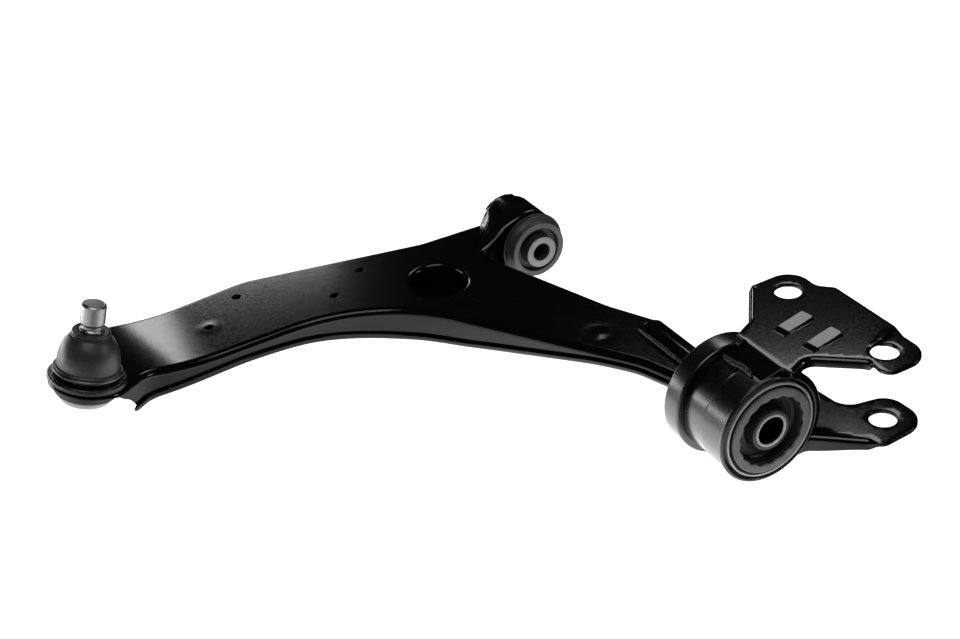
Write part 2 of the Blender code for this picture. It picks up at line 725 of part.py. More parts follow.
def make_ball_joint(kit):
    """Housing, bearing shell, cover, stud, boot and the two rings that hold the boot."""
    frame = "arm_swing_axis"
    place = pivot_matrix().inverted() @ ball_matrix()
    housing = turned("ball_joint_housing", (
        (20.0, 9.0), (20.0, 5.6), (23.0, 4.4), (FLANGE_R, 4.0), (FLANGE_R, GAP), (HOUSING_R, GAP),
        (HOUSING_R, -8.6), (20.8, -9.8), (18.7, -9.8), (18.7, -8.7), (19.8, -8.7), (19.8, -5.0),
        (16.5, -5.0), (16.5, 5.0), (14.5, 7.0), (14.5, 9.0)), place)
    kit.add_part(housing, frame, PAINTED)
    kit.add_part(make_bearing(place), frame, (ACETAL, 0.5, 0.0))
    cover = turned("ball_joint_cover", (
        (0.0, -14.2), (15.0, -14.2), (16.6, -12.6), (16.6, -5.4), (19.5, -5.4), (19.5, -8.3), (18.3, -8.3),
        (18.3, -12.4), (16.8, -14.8), (11.0, -16.0), (0.0, -16.4)), place, False)
    kit.add_part(cover, frame, (ZINC, 0.35, 1.0))
    kit.add_part(make_stud(), "ball_stud_axis", BARE)
    boot = turned("dust_boot", (
        (12.8, 37.2), (13.4, 35.6), (12.4, 34.2), (14.4, 32.4), (17.8, 28.0), (20.4, 22.0), (21.3, 16.0),
        (21.2, 10.8), (22.2, 9.6), (21.6, 8.0), (21.9, 5.6), (20.3, 6.4), (20.3, 9.3), (19.0, 11.0),
        (19.2, 16.0), (18.4, 21.2), (15.8, 27.0), (12.4, 31.0), (10.4, 33.0), (8.8, 34.0), (8.8, 37.2)),
        along_ball(-BALL_HEIGHT))
    kit.add_part(boot, "boot_axis", RUBBERY)
    kit.add_part(wire_ring("boot_clamp_ring", 22.9, 0.9, 8.4, place), frame, (ZINC, 0.25, 1.0))
    top_ring = wire_ring("boot_top_ring", 13.6, 0.7, 34.2, along_ball(-BALL_HEIGHT))
    kit.add_part(top_ring, "boot_axis", (STEEL, 0.4, 1.0))


def arc_points(radius, centre_height, first, last, pieces):
    """(radius, height) points on a circle about the axis, by angle in degrees above its middle."""
    points = []
    for piece in range(pieces + 1):
        angle = math.radians(first + (last - first) * piece / pieces)
        points.append((radius * math.cos(angle), centre_height + radius * math.sin(angle)))
    return points


def make_bearing(place):
    """Plastic shell around the ball, open at the top for the stud."""
    inner = arc_points(BALL_R + GAP + 0.1, BALL_HEIGHT, -56.0, 31.0, 8)
    top = inner[-1][1]
    profile = [(16.2, top), (16.2, -12.4), (inner[0][0], -12.4)] + inner
    return turned("ball_joint_bearing", profile, place, steps=32)


def make_stud():
    """Ball stud with the clamp groove below its plain head; its zero is the ball's centre."""
    shift = -BALL_HEIGHT
    head = [(0.0, STUD_TOP), (STUD_R - 1.0, STUD_TOP), (STUD_R, STUD_TOP - 1.0), (STUD_R, 43.0),
            (7.0, 41.6), (7.0, 39.0), (8.4, 37.8), (8.4, 33.0), (6.5, 14.0)]
    ball = arc_points(BALL_R, 0.0, 58.0, -80.0, 9)
    profile = [(radius, height + shift) for radius, height in head] + ball
    bottom = ball[-1][1]
    profile.append((0.0, bottom))
    return turned("ball_stud", profile, Matrix.Identity(4), False)


def main():
    clear_scene()
    kit = Assembly()
    pivot = pivot_matrix()
    ball = ball_matrix()
    ball_centre = ball @ Matrix.Translation((0.0, 0.0, BALL_HEIGHT * MM))
    kit.add_frame("bracket_frame", pivot)
    kit.add_frame("arm_swing_axis", pivot)
    kit.add_frame("front_sleeve_axis", pivot)
    kit.add_frame("ball_joint_axis", ball)
    kit.add_frame("boot_axis", ball_centre)
    kit.add_frame("ball_stud_axis", ball_centre)
    make_upper_shell(kit)
    make_lower_shell(kit)
    make_front_bush(kit)
    make_rear_bush(kit)
    make_spigot(kit)
    make_upper_bracket(kit)
    make_lower_bracket(kit)
    make_can_weld(kit)
    make_ball_joint(kit)


main()
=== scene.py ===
import json
import math

import bmesh
import bpy
import numpy as np
from mathutils import Matrix, Vector, noise
from mathutils.geometry import delaunay_2d_cdt


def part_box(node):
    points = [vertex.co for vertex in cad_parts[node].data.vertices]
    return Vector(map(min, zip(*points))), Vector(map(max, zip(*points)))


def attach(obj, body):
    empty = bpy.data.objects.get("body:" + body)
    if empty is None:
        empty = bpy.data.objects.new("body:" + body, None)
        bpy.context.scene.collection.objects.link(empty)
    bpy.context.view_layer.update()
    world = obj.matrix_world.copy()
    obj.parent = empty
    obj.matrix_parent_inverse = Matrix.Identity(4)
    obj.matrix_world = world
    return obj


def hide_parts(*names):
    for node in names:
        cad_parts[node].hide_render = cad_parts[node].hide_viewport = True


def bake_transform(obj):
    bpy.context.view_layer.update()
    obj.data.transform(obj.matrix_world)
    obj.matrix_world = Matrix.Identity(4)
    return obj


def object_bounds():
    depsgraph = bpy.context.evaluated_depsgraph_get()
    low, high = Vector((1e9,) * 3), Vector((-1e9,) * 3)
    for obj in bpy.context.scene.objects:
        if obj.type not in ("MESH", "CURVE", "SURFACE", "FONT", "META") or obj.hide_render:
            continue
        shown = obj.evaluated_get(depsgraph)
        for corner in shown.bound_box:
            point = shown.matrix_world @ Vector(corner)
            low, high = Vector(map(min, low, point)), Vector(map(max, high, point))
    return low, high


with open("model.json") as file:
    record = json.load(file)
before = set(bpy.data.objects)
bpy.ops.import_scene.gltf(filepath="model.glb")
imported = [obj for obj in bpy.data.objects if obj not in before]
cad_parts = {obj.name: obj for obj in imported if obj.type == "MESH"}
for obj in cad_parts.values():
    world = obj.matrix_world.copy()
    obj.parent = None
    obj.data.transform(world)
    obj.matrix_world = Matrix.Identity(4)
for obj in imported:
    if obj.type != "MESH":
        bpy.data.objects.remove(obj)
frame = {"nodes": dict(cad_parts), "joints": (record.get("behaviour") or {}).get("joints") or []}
CAD_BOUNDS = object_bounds()
MM = 0.001

joints = {joint["name"]: joint for joint in frame["joints"]}
swing = Vector(joints["arm_swing"]["pos_m"])
ZERO = Vector((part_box("rear_bush_can")[1][0], swing.y, swing.z))    # zero of the pivot frame
PIVOT = Matrix.Translation(ZERO)
BALL_CENTRE = Vector(joints["stud_spin"]["pos_m"])
BALL_AXIS = Vector(joints["stud_spin"]["axis"]).normalized()
LEAN = math.atan2(BALL_AXIS.y, BALL_AXIS.z)
BALL_DEPTH = 2.0                        # from the arm's top down to the ball's centre, along the joint's axis
BALL = (Matrix.Translation(BALL_CENTRE) @ Matrix.Rotation(-LEAN, 4, "X")
        @ Matrix.Translation((0, 0, BALL_DEPTH * MM)))    # on the joint's axis, with zero at the arm's top

# The arm (pivot frame, mm).  Corners are (x, y, radius), holes (x, y, radius)
PLATE_TOP = 10.0
BEND_START = -262.0
BEND_LENGTH = 70.0
FLOOR_PROFILE = ((-610.0, -13.5), (-572.0, -7.0), (-545.0, -4.3), (-516.0, -4.3), (-483.0, -7.0),
                 (-445.0, -11.5), (-402.0, -15.0), (-340.0, -15.0), (-290.0, -10.5), (-175.0, -1.0))
SADDLE_LINE = ((5.0, 27.6), (0.0, 28.0), (-8.0, 27.3), (-16.0, 25.6), (-23.0, 23.0), (-29.0, 19.5),
               (-35.0, 15.5), (-41.0, 12.0), (-48.0, 9.0))
ARM_OUTLINE = ((-297.0, -384.0, 25.2), (-260.5, -384.0, 25.2), (-262.0, -344.0, 18.0), (-286.0, -318.0, 25.0),
               (-286.0, -140.5, 118.0), (-103.0, -31.5, 60.0), (-72.0, -22.0, 7.0), (-72.0, 6.0, 7.0),
               (-138.0, 10.0, 8.0), (-176.0, -7.5, 60.0), (-290.0, -43.5, 8.0), (-309.0, -10.0, 7.0),
               (-333.0, -10.0, 7.0), (-336.5, -75.0, 40.0), (-370.0, -210.0, 60.0), (-361.0, -330.0, 40.0))
WINDOW = ((-279.3, -90.8), 45.0, 38.5, math.radians(-12.0))
ARM_HOLES = ((-350.0, -223.0, 3.4), (-323.0, -256.0, 3.4), (-328.0, -131.0, 3.2), (-307.0, -163.0, 3.2))
PRESS_MARK = (-148.0, -34.0)
SHELL_STEEL = 3.0
TRAY_STEEL = 2.5
HOUSING_R = 21.9
BARREL_R = 25.0
SPIGOT_R = 13.0
FRONT_X = (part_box("front_bush_barrel")[0][0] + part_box("front_bush_barrel")[1][0]) / 2.0 / MM - ZERO.x / MM

# The bracket (pivot frame, mm)
UPPER_TOP = 42.0
LOWER_TOP = -20.0
BOLT_R = 9.4
UPPER_HOLES = ((-73.5, 71.5), (20.3, 75.5))
LOWER_HOLES = ((12.2, 84.3),)
UPPER_OUTLINE = ((6.0, 13.0, 2.0), (-2.0, 31.0, 9.0), (25.0, 61.0, 10.0), (42.0, 57.5, 9.0),
                 (42.0, 96.5, 17.0), (14.0, 96.5, 8.0), (2.0, 100.0, 5.0), (-58.0, 100.0, 5.0),
                 (-68.0, 91.0, 9.0), (-94.0, 92.0, 16.0), (-94.0, 54.0, 5.0), (-61.5, 29.0, 6.0),
                 (-53.0, 12.0, 2.0), (-44.0, 11.0, 1.5), (-43.0, -5.0, 2.0), (-3.5, -5.0, 2.0),
                 (-2.5, 12.0, 1.5))
LOWER_OUTLINE = ((-1.0, 19.0, 2.0), (-1.0, 31.5, 8.0), (25.5, 59.5, 10.0), (35.0, 66.0, 9.0),
                 (32.0, 107.0, 19.0), (-6.0, 105.5, 15.0), (-13.0, 72.5, 14.0), (-56.0, 69.0, 6.0),
                 (-56.0, 19.0, 2.0))
STRAP_START = 13.0                      # where the upper plate starts to slope down to the can
STRAP_SLOPE = 0.24
BRACKET_STEEL = 3.0
UPPER_FLANGE = 3.5
RIBS = ((-38.2, 47.6), (-12.2, 50.6))
RIB_TURN = math.radians(98.0)
RIB_HALF = (15.6, 6.6)
RIB_CORNER = 3.0
RIB_HEIGHT = 2.2
RIB_SLOPE = 0.075

# Dust boot: height at which its two meshes meet, and the wall's radii there
BOOT_SPLIT = 21.5
BOOT_SPLIT_R = (20.42, 18.35)


# ---------------------------------------------------------------- shape helpers

def smooth(share):
    share = min(max(share, 0.0), 1.0)
    return share * share * (3.0 - 2.0 * share)


def lift(y):
    """How far the arm's outer end is bent up."""
    slope = math.tan(LEAN)
    past = BEND_START - y
    if past <= 0.0:
        return 0.0
    if past < BEND_LENGTH:
        return slope * past * past / (2.0 * BEND_LENGTH)
    return slope * (past - BEND_LENGTH / 2.0)


def floor_level(x, y):
    """Height of the arm's underside, which changes along the diagonal of the L."""
    places, heights = zip(*FLOOR_PROFILE)
    return float(np.mean(np.interp([x + y + k for k in (-18, -9, 0, 9, 18)], places, heights)))


def rounded_outline(corners, grow=0.0, step=math.radians(4.0)):
    """Points of a polygon with rounded corners, moved out by grow."""
    points = []
    count = len(corners)
    for index, (x, y, radius) in enumerate(corners):
        here = Vector((x, y))
        run_in = (here - Vector(corners[index - 1][:2])).normalized()
        run_out = (Vector(corners[(index + 1) % count][:2]) - here).normalized()
        turn = math.atan2(run_in.cross(run_out), run_in.dot(run_out))
        side = math.copysign(1.0, turn)
        pieces = max(3, math.ceil(abs(turn) / step))
        radius = max(radius + side * grow, 0.3)
        out_in = Vector((run_in.y, -run_in.x))
        out_out = Vector((run_out.y, -run_out.x))
        corner = here + (out_in + out_out) * grow / (1.0 + out_in.dot(out_out))
        start = corner - run_in * radius * math.tan(abs(turn) / 2.0)
        centre = start - out_in * side * radius
        arm = start - centre
        for piece in range(pieces + 1):
            spoke = arm.copy()
            spoke.rotate(Matrix.Rotation(turn * piece / pieces, 2))
            points.append(centre + spoke)
    return points


def loop_of(points, inner, step):
    """A closed loop as (point, way into the material) pairs, no further apart than step."""
    loop = []
    count = len(points)
    for i in range(count):
        j = (i + 1) % count
        pieces = max(1, math.ceil((points[j] - points[i]).length / step))
        for k in range(pieces):
            share = k / pieces
            point = points[i].lerp(points[j], share)
            loop.append((point, inner[i].lerp(inner[j], share) - point))
    return loop


def outline_loop(corners, step, grow=0.0):
    return loop_of(rounded_outline(corners, grow), rounded_outline(corners, grow - 1.0), step)


def slot_points(centre, length, width, turn, steps=28):
    """Points of a slot with round ends, turned by that angle."""
    radius = width / 2.0
    reach = length / 2.0 - radius
    points = []
    for end in (1.0, -1.0):
        for piece in range(steps + 1):
            angle = math.pi * (piece / steps - 0.5) + (0.0 if end > 0 else math.pi)
            points.append(Vector((end * reach + radius * math.cos(angle), radius * math.sin(angle))))
    rotation = Matrix.Rotation(turn, 2)
    return [Vector(centre) + rotation @ point for point in points]


def slot_loop(centre, length, width, turn, step):
    outer = slot_points(centre, length + 2, width + 2, turn)
    return loop_of(slot_points(centre, length, width, turn), outer, step)


def circle_loop(x, y, radius, count=48):
    angles = [2.0 * math.pi * k / count for k in range(count)]
    return [(Vector((x + radius * math.cos(a), y + radius * math.sin(a))), Vector((math.cos(a), math.sin(a))))
            for a in angles]


def inside(points, polygon):
    """Even-odd test of an array of points against a closed polygon."""
    x, y = points[:, 0], points[:, 1]
    within = np.zeros(len(points), dtype=bool)
    before = polygon[-1]
    for after in polygon:
        crosses = (after[1] > y) != (before[1] > y)
        rise = before[1] - after[1]
        if rise:
            within ^= crosses & (x < (before[0] - after[0]) * (y - after[1]) / rise + after[0])
        before = after
    return within


def fill(rings, spacing):
    """Triangles of the area between the first ring and the others, with points spread inside it."""
    arrays = [np.array([tuple(point) for point in ring]) for ring in rings]
    border = np.vstack(arrays)
    edges = []
    start = 0
    for ring in arrays:
        edges += [(start + k, start + (k + 1) % len(ring)) for k in range(len(ring))]
        start += len(ring)
    low, high = arrays[0].min(axis=0), arrays[0].max(axis=0)
    grid = []
    for row, y in enumerate(np.arange(low[1], high[1], spacing * 0.866)):
        for x in np.arange(low[0] + (row % 2) * spacing / 2.0, high[0], spacing):
            grid.append((x, y))
    grid = np.array(grid)
    keep = inside(grid, arrays[0])
    for ring in arrays[1:]:
        keep &= ~inside(grid, ring)
    grid = grid[keep]
    if len(grid):
        near = np.array([np.min(np.hypot(border[:, 0] - x, border[:, 1] - y)) for x, y in grid])
        grid = grid[near > 0.55 * spacing]
    spread = [Vector(point) for point in border] + [Vector(point) for point in grid]
    points, _, faces, _, _, _ = delaunay_2d_cdt(spread, edges, [], 0, 1e-6)
    middles = np.array([
        [sum(points[i][axis] for i in face) / len(face) for axis in (0, 1)] for face in faces])
    keep = inside(middles, arrays[0])
    for ring in arrays[1:]:
        keep &= ~inside(middles, ring)
    return points, [face for face, kept in zip(faces, keep) if kept]


def finish_mesh(name, verts, faces, place=PIVOT, sharp=35.0):
    """Object from corners in mm; edges that turn by more than sharp degrees stay sharp."""
    work = bmesh.new()
    made = [work.verts.new(tuple(value * MM for value in vert)) for vert in verts]
    for face in faces:
        ring = []
        for index in face:
            if not ring or made[index] is not ring[-1]:
                ring.append(made[index])
        if len(set(ring)) > 2:
            try:
                work.faces.new(ring)
            except ValueError:
                pass
    bmesh.ops.remove_doubles(work, verts=work.verts, dist=2e-6)
    bmesh.ops.recalc_face_normals(work, faces=work.faces)
    bmesh.ops.transform(work, verts=work.verts, matrix=place)
    mesh = bpy.data.meshes.new(name)
    work.to_mesh(mesh)
    work.free()
    mesh.polygons.foreach_set("use_smooth", [True] * len(mesh.polygons))
    mesh.set_sharp_from_angle(angle=math.radians(sharp))
    obj = bpy.data.objects.new(name, mesh)
    bpy.context.scene.collection.objects.link(obj)
    return obj


def skinned(name, sections, sharp=35.0):
    """Solid through closed sections that all have the same number of points."""
    row = len(sections[0])
    faces = []
    for k in range(len(sections) - 1):
        for j in range(row):
            after = (j + 1) % row
            faces.append((k * row + j, k * row + after, (k + 1) * row + after, (k + 1) * row + j))
    faces.append(tuple(range(row)))
    faces.append(tuple((len(sections) - 1) * row + j for j in range(row)))
    return finish_mesh(name, [point for section in sections for point in section], faces, PIVOT, sharp)


def plate(name, loops, rim, level, spacing, up=False):
    """Closed sheet.  rim(loop number, point number, point) gives (inset, drop) from its face to its back."""
    sign = 1.0 if up else -1.0
    verts, faces = [], []
    fronts, backs = [], []
    for number, loop in enumerate(loops):
        profiles = [rim(number, index, point) for index, (point, _) in enumerate(loop)]
        rings = len(profiles[0])
        start = len(verts)
        for ring in range(rings):
            for profile, (point, into) in zip(profiles, loop):
                inset, drop = profile[ring]
                spot = point + into * inset
                verts.append((spot.x, spot.y, level(spot.x, spot.y) + sign * drop))
        count = len(loop)
        for ring in range(rings - 1):
            for k in range(count):
                a, b = start + ring * count + k, start + ring * count + (k + 1) % count
                faces.append((a, b, b + count, a + count))
        fronts.append([Vector(verts[start + k][:2]) for k in range(count)])
        backs.append([Vector(verts[start + (rings - 1) * count + k][:2]) for k in range(count)])
        back_drop = profiles[0][-1][1]
    for rings, drop in ((fronts, 0.0), (backs, back_drop)):
        points, triangles = fill(rings, spacing)
        start = len(verts)
        verts += [(point[0], point[1], level(point[0], point[1]) + sign * drop) for point in points]
        faces += [tuple(start + index for index in triangle) for triangle in triangles]
    return finish_mesh(name, verts, faces)


def quarter(radius, steps):
    """(inset, drop) points round an edge, from the face to the side."""
    angles = [math.radians(90.0 * k / steps) for k in range(steps + 1)]
    return [(radius * (1.0 - math.sin(angle)), radius * (1.0 - math.cos(angle))) for angle in angles]


def inner_edge(steel, radius, steps):
    """(inset, drop) points from the inside of a wall to the back of a sheet of that steel."""
    return [(steel + inset, steel + drop) for inset, drop in quarter(radius, steps)[::-1]]


def soften(profile, radius, closed, steps=4):
    """Rounds the corners of a profile of (r, z) points."""
    points = [Vector(point) for point in profile]
    soft = []
    count = len(points)
    for index, here in enumerate(points):
        if not closed and index in (0, count - 1):
            soft.append(here)
            continue
        before, after = points[index - 1], points[(index + 1) % count]
        into, out = before - here, after - here
        room = min(radius, 0.42 * into.length, 0.42 * out.length)
        if into.length < 1e-6 or out.length < 1e-6 or into.angle(out) > math.radians(172.0):
            soft.append(here)
            continue
        first, last = here + into.normalized() * room, here + out.normalized() * room
        for k in range(steps + 1):
            share = k / steps
            soft.append(first * (1 - share) ** 2 + here * 2 * share * (1 - share) + last * share ** 2)
    return soft


def turned(name, profile, place, radius, closed=True, steps=144, wobble=None):
    """Solid of revolution about local Z from (r, z) points, with its corners rounded."""
    points = soften(profile, radius, closed)
    verts, faces = [], []
    count = len(points)
    for step in range(steps):
        angle = 2.0 * math.pi * step / steps
        for point in points:
            reach, height = point.x, point.y
            if wobble:
                reach, height = wobble(reach, height, angle)
            verts.append((reach * math.cos(angle), reach * math.sin(angle), height))
    for step in range(steps):
        after = (step + 1) % steps
        for k in range(count if closed else count - 1):
            j = (k + 1) % count
            faces.append((step * count + k, step * count + j, after * count + j, after * count + k))
    return finish_mesh(name, verts, faces, place, 40.0)


def along_x(x=0.0):
    """Frame on the swing axis at that X, with its Z along the axis."""
    return PIVOT @ Matrix.Translation((x * MM, 0.0, 0.0)) @ Matrix.Rotation(math.pi / 2.0, 4, "Y")


def wire_section(radius, height, thick, count):
    """Round section of a wire ring, as (r, z) points."""
    return [(radius + thick * math.cos(angle), height + thick * math.sin(angle))
            for angle in np.linspace(0.0, -2.0 * math.pi, count + 1)[:-1]]


def tube(name, path, radius, sides, shape):
    """Solid that follows a path; shape(share, angle) scales its radius."""
    path = [Vector(point) for point in path]
    last = len(path) - 1
    sections = []
    for index, here in enumerate(path):
        run = (path[min(index + 1, last)] - path[max(index - 1, 0)]).normalized()
        side = run.orthogonal()
        side = (side - run * side.dot(run)).normalized()
        other = run.cross(side)
        section = []
        for k in range(sides):
            angle = 2.0 * math.pi * k / sides
            reach = radius * shape(index / last, angle)
            section.append(here + (side * math.cos(angle) + other * math.sin(angle)) * reach)
        sections.append(section)
    return skinned(name, sections, 60.0)


def bead_shape(ripples, seed):
    """Cross-section of a weld bead: tapered ends, curved ripples and a little unevenness."""
    def shape(share, angle):
        taper = math.sin(math.pi * min(max(share, 0.015), 0.985)) ** 0.28
        phase = share * ripples + 0.28 * math.cos(angle)
        ripple = 1.0 - 0.15 * (1.0 - abs(math.sin(math.pi * phase)))
        rough = 1.0 + 0.14 * noise.noise(Vector((share * ripples * 0.8, math.cos(angle), seed)))
        return taper * ripple * rough
    return shape


def cut_away(obj, *cutters):
    """Takes the cutters off obj and throws them away."""
    for cutter in cutters:
        modifier = obj.modifiers.new("cut", "BOOLEAN")
        modifier.operation = "DIFFERENCE"
        modifier.solver = "EXACT"
        modifier.object = cutter
    graph = bpy.context.evaluated_depsgraph_get()
    mesh = bpy.data.meshes.new_from_object(obj.evaluated_get(graph))
    obj.modifiers.clear()
    old = obj.data
    obj.data = mesh
    bpy.data.meshes.remove(old)
    mesh.name = obj.name
    mesh.materials.clear()
    for cutter in cutters:
        block = cutter.data
        bpy.data.objects.remove(cutter)
        bpy.data.meshes.remove(block)
    mesh.polygons.foreach_set("use_smooth", [True] * len(mesh.polygons))
    mesh.set_sharp_from_angle(angle=math.radians(35.0))


def rod_cutter(name, radius, low, high, place, steps=96):
    return turned(name, ((0.0, high), (radius, high), (radius, low), (0.0, low)), place, 0.0, False, steps)


def curve_through(points, steps=6):
    """Catmull-Rom curve through points of a plane."""
    points = [Vector(point) for point in points]
    smooth_points = []
    for k in range(len(points) - 1):
        before = points[max(k - 1, 0)]
        here, after = points[k], points[k + 1]
        beyond = points[min(k + 2, len(points) - 1)]
        for step in range(steps):
            t = step / steps
            straight = (2 * here) + (after - before) * t
            square = (2 * before - 5 * here + 4 * after - beyond) * t * t
            cube = (3 * here - before - 3 * after + beyond) * t ** 3
            smooth_points.append(0.5 * (straight + square + cube))
    return smooth_points + [points[-1]]


# ---------------------------------------------------------------- materials

def new_material(name):
    material = bpy.data.materials.new(name)
    material.use_nodes = True
    return material, material.node_tree.nodes, material.node_tree.links


def noise_node(nodes, links, coordinates, scale, detail=3.0, roughness=0.5):
    """Fractal noise at that many cells to the metre."""
    node = nodes.new("ShaderNodeTexNoise")
    node.inputs["Scale"].default_value = scale
    node.inputs["Detail"].default_value = detail
    node.inputs["Roughness"].default_value = roughness
    links.new(coordinates, node.inputs["Vector"])
    return node.outputs["Fac"]


def ranged(nodes, links, value, low, high, start=0.3, end=0.7):
    """Value mapped from start..end to low..high, and clamped there."""
    node = nodes.new("ShaderNodeMapRange")
    node.inputs["From Min"].default_value = start
    node.inputs["From Max"].default_value = end
    node.inputs["To Min"].default_value = low
    node.inputs["To Max"].default_value = high
    links.new(value, node.inputs["Value"])
    return node.outputs["Result"]


def mixed_colour(nodes, links, factor, first, second):
    node = nodes.new("ShaderNodeMix")
    node.data_type = "RGBA"
    node.inputs["A"].default_value = (*first, 1.0)
    node.inputs["B"].default_value = (*second, 1.0)
    links.new(factor, node.inputs["Factor"])
    return node.outputs["Result"]


def bump(nodes, links, height, strength, distance, before=None):
    node = nodes.new("ShaderNodeBump")
    node.inputs["Strength"].default_value = strength
    node.inputs["Distance"].default_value = distance
    links.new(height, node.inputs["Height"])
    if before is not None:
        links.new(before, node.inputs["Normal"])
    return node.outputs["Normal"]


def surface(name, colours, rough, bumps, metallic=0.0, specular=0.5, line_turn=None):
    """Material whose colour and roughness drift, with bumps as (scale, strength, distance in metres).

    With line_turn it also gets fine turning lines, along the local Z of that rotation."""
    material, nodes, links = new_material(name)
    shader = nodes["Principled BSDF"]
    place = nodes.new("ShaderNodeTexCoord").outputs["Object"]
    drift = ranged(nodes, links, noise_node(nodes, links, place, 70.0, 4.0, 0.6), 0.0, 1.0)
    links.new(mixed_colour(nodes, links, drift, *colours), shader.inputs["Base Color"])
    wear = noise_node(nodes, links, place, 350.0, 5.0, 0.65)
    links.new(ranged(nodes, links, wear, *rough), shader.inputs["Roughness"])
    shader.inputs["Metallic"].default_value = metallic
    shader.inputs["Specular IOR Level"].default_value = specular
    normal = None
    for scale, strength, distance in bumps:
        normal = bump(nodes, links, noise_node(nodes, links, place, scale, 2.0), strength, distance, normal)
    if line_turn:
        mapping = nodes.new("ShaderNodeMapping")
        mapping.inputs["Rotation"].default_value = line_turn
        links.new(place, mapping.inputs["Vector"])
        wave = nodes.new("ShaderNodeTexWave")
        wave.wave_type = "BANDS"
        wave.bands_direction = "Z"
        wave.inputs["Scale"].default_value = 900.0
        wave.inputs["Distortion"].default_value = 1.5
        wave.inputs["Detail"].default_value = 2.0
        links.new(mapping.outputs["Vector"], wave.inputs["Vector"])
        normal = bump(nodes, links, wave.outputs["Fac"], 0.5, 0.00005, normal)
    links.new(normal, shader.inputs["Normal"])
    return material


BLACK = ((0.0018, 0.0018, 0.0019), (0.003, 0.003, 0.0031))
GLOSS_BUMPS = ((420.0, 0.04, 0.0003), (50.0, 0.02, 0.001))
PAINT = surface("black_gloss_paint", BLACK, (0.09, 0.14), GLOSS_BUMPS, specular=0.45)
ARM_PAINT = surface("arm_gloss_paint", BLACK, (0.09, 0.14), GLOSS_BUMPS, specular=0.26)
CAN_PAINT = surface("can_satin_paint", BLACK, (0.2, 0.28),
                    ((900.0, 0.10, 0.0003), (90.0, 0.06, 0.001)), specular=0.75)
ROUGH_PAINT = surface("painted_weld", BLACK, (0.22, 0.34), ((1600.0, 0.5, 0.0004), (500.0, 0.4, 0.0006)))
CRIMP = surface("crimped_housing_paint", BLACK, (0.2, 0.36), ((500.0, 0.6, 0.0006), (1800.0, 0.4, 0.0003)))
HOUSING = surface("housing_grey", ((0.012, 0.012, 0.013), (0.025, 0.025, 0.026)), (0.35, 0.5),
                  ((1200.0, 0.5, 0.0004),))
BOOT = surface("boot_satin_rubber", ((0.017, 0.017, 0.018), (0.026, 0.026, 0.027)), (0.36, 0.44),
               ((1500.0, 0.12, 0.0002), (160.0, 0.08, 0.0006)))
RUBBER = surface("bush_rubber", ((0.006, 0.006, 0.0065), (0.011, 0.011, 0.012)), (0.38, 0.55),
                 ((1300.0, 0.25, 0.0003),), specular=0.4)
FLANGE_RUBBER = surface("flange_rubber", ((0.03, 0.031, 0.032), (0.05, 0.051, 0.053)), (0.36, 0.5),
                        ((1300.0, 0.2, 0.0003),))
GREY_RUBBER = surface("stop_ring_rubber", ((0.085, 0.087, 0.09), (0.13, 0.132, 0.135)), (0.4, 0.55),
                      ((1100.0, 0.3, 0.0003),))
SLEEVE = surface("sleeve_steel", ((0.22, 0.225, 0.23), (0.32, 0.325, 0.33)), (0.34, 0.46),
                 ((1400.0, 0.15, 0.0002),), metallic=0.25)
DARK_SLEEVE = surface("dark_sleeve_steel", ((0.03, 0.031, 0.032), (0.06, 0.061, 0.062)), (0.3, 0.42),
                      ((1400.0, 0.15, 0.0002),), metallic=0.4)
# Pale grey that is only partly metallic, for rims: partly bare steel's own tone, partly painted highlight, so
# rims show as thin bright lines.
RIM_STEEL_AND_HIGHLIGHT = surface("rim_steel_and_painted_highlight", ((0.3, 0.3, 0.31), (0.48, 0.48, 0.49)), (0.25, 0.38),
                    ((1400.0, 0.2, 0.0002),), metallic=0.3)
STUD = surface("machined_stud", ((0.22, 0.22, 0.216), (0.32, 0.32, 0.313)), (0.26, 0.36),
               ((1800.0, 0.10, 0.0001),), metallic=1.0, line_turn=(-LEAN, 0.0, 0.0))
STUD_FACE = surface("stud_end_face", ((0.20, 0.20, 0.20), (0.36, 0.36, 0.36)), (0.36, 0.5),
                    ((1500.0, 0.4, 0.0003),), metallic=1.0)
WIRE = surface("dull_wire", ((0.08, 0.08, 0.08), (0.16, 0.16, 0.16)), (0.25, 0.4),
               ((1500.0, 0.2, 0.0002),), metallic=1.0)
ZINC = surface("pale_cover", ((0.42, 0.44, 0.43), (0.55, 0.56, 0.55)), (0.35, 0.5),
               ((700.0, 0.2, 0.0004),), metallic=0.3)
ACETAL = surface("bearing_plastic", ((0.6, 0.59, 0.55), (0.7, 0.69, 0.65)), (0.4, 0.5),
                 ((900.0, 0.1, 0.0002),))


def wear(obj, material, slot, body, *nodes):
    """Gives a piece its material, and puts it on its CAD body in place of those nodes.  The slot argument is not
    used.
    """
    obj.data.materials.clear()
    obj.data.materials.append(material)
    if nodes:
        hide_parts(*nodes)
    if body:
        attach(obj, body)


# ---------------------------------------------------------------- arm

def hollow(x, y, centre, radius, depth, flat):
    """Round dent, or a boss if depth is negative; its middle is flat out to that share of the radius."""
    reach = math.hypot(x - centre[0], y - centre[1]) / radius
    return -depth * smooth((1.0 - reach) / (1.0 - flat)) if reach < 1.0 else 0.0


def ring_mark(x, y, centre, radius, width, height):
    reach = abs(math.hypot(x - centre[0], y - centre[1]) - radius) / width
    return height * smooth(1.0 - reach) if reach < 1.0 else 0.0


def top_level(x, y):
    """Height of the upper shell's face."""
    level = PLATE_TOP + lift(y)
    level += ring_mark(x, y, PRESS_MARK, 9.0, 3.4, -0.35)
    level += hollow(x, y, PRESS_MARK, 5.5, -0.25, 0.3)
    level += hollow(x, y, ARM_HOLES[1][:2], 10.0, -0.14, 0.35)
    return level


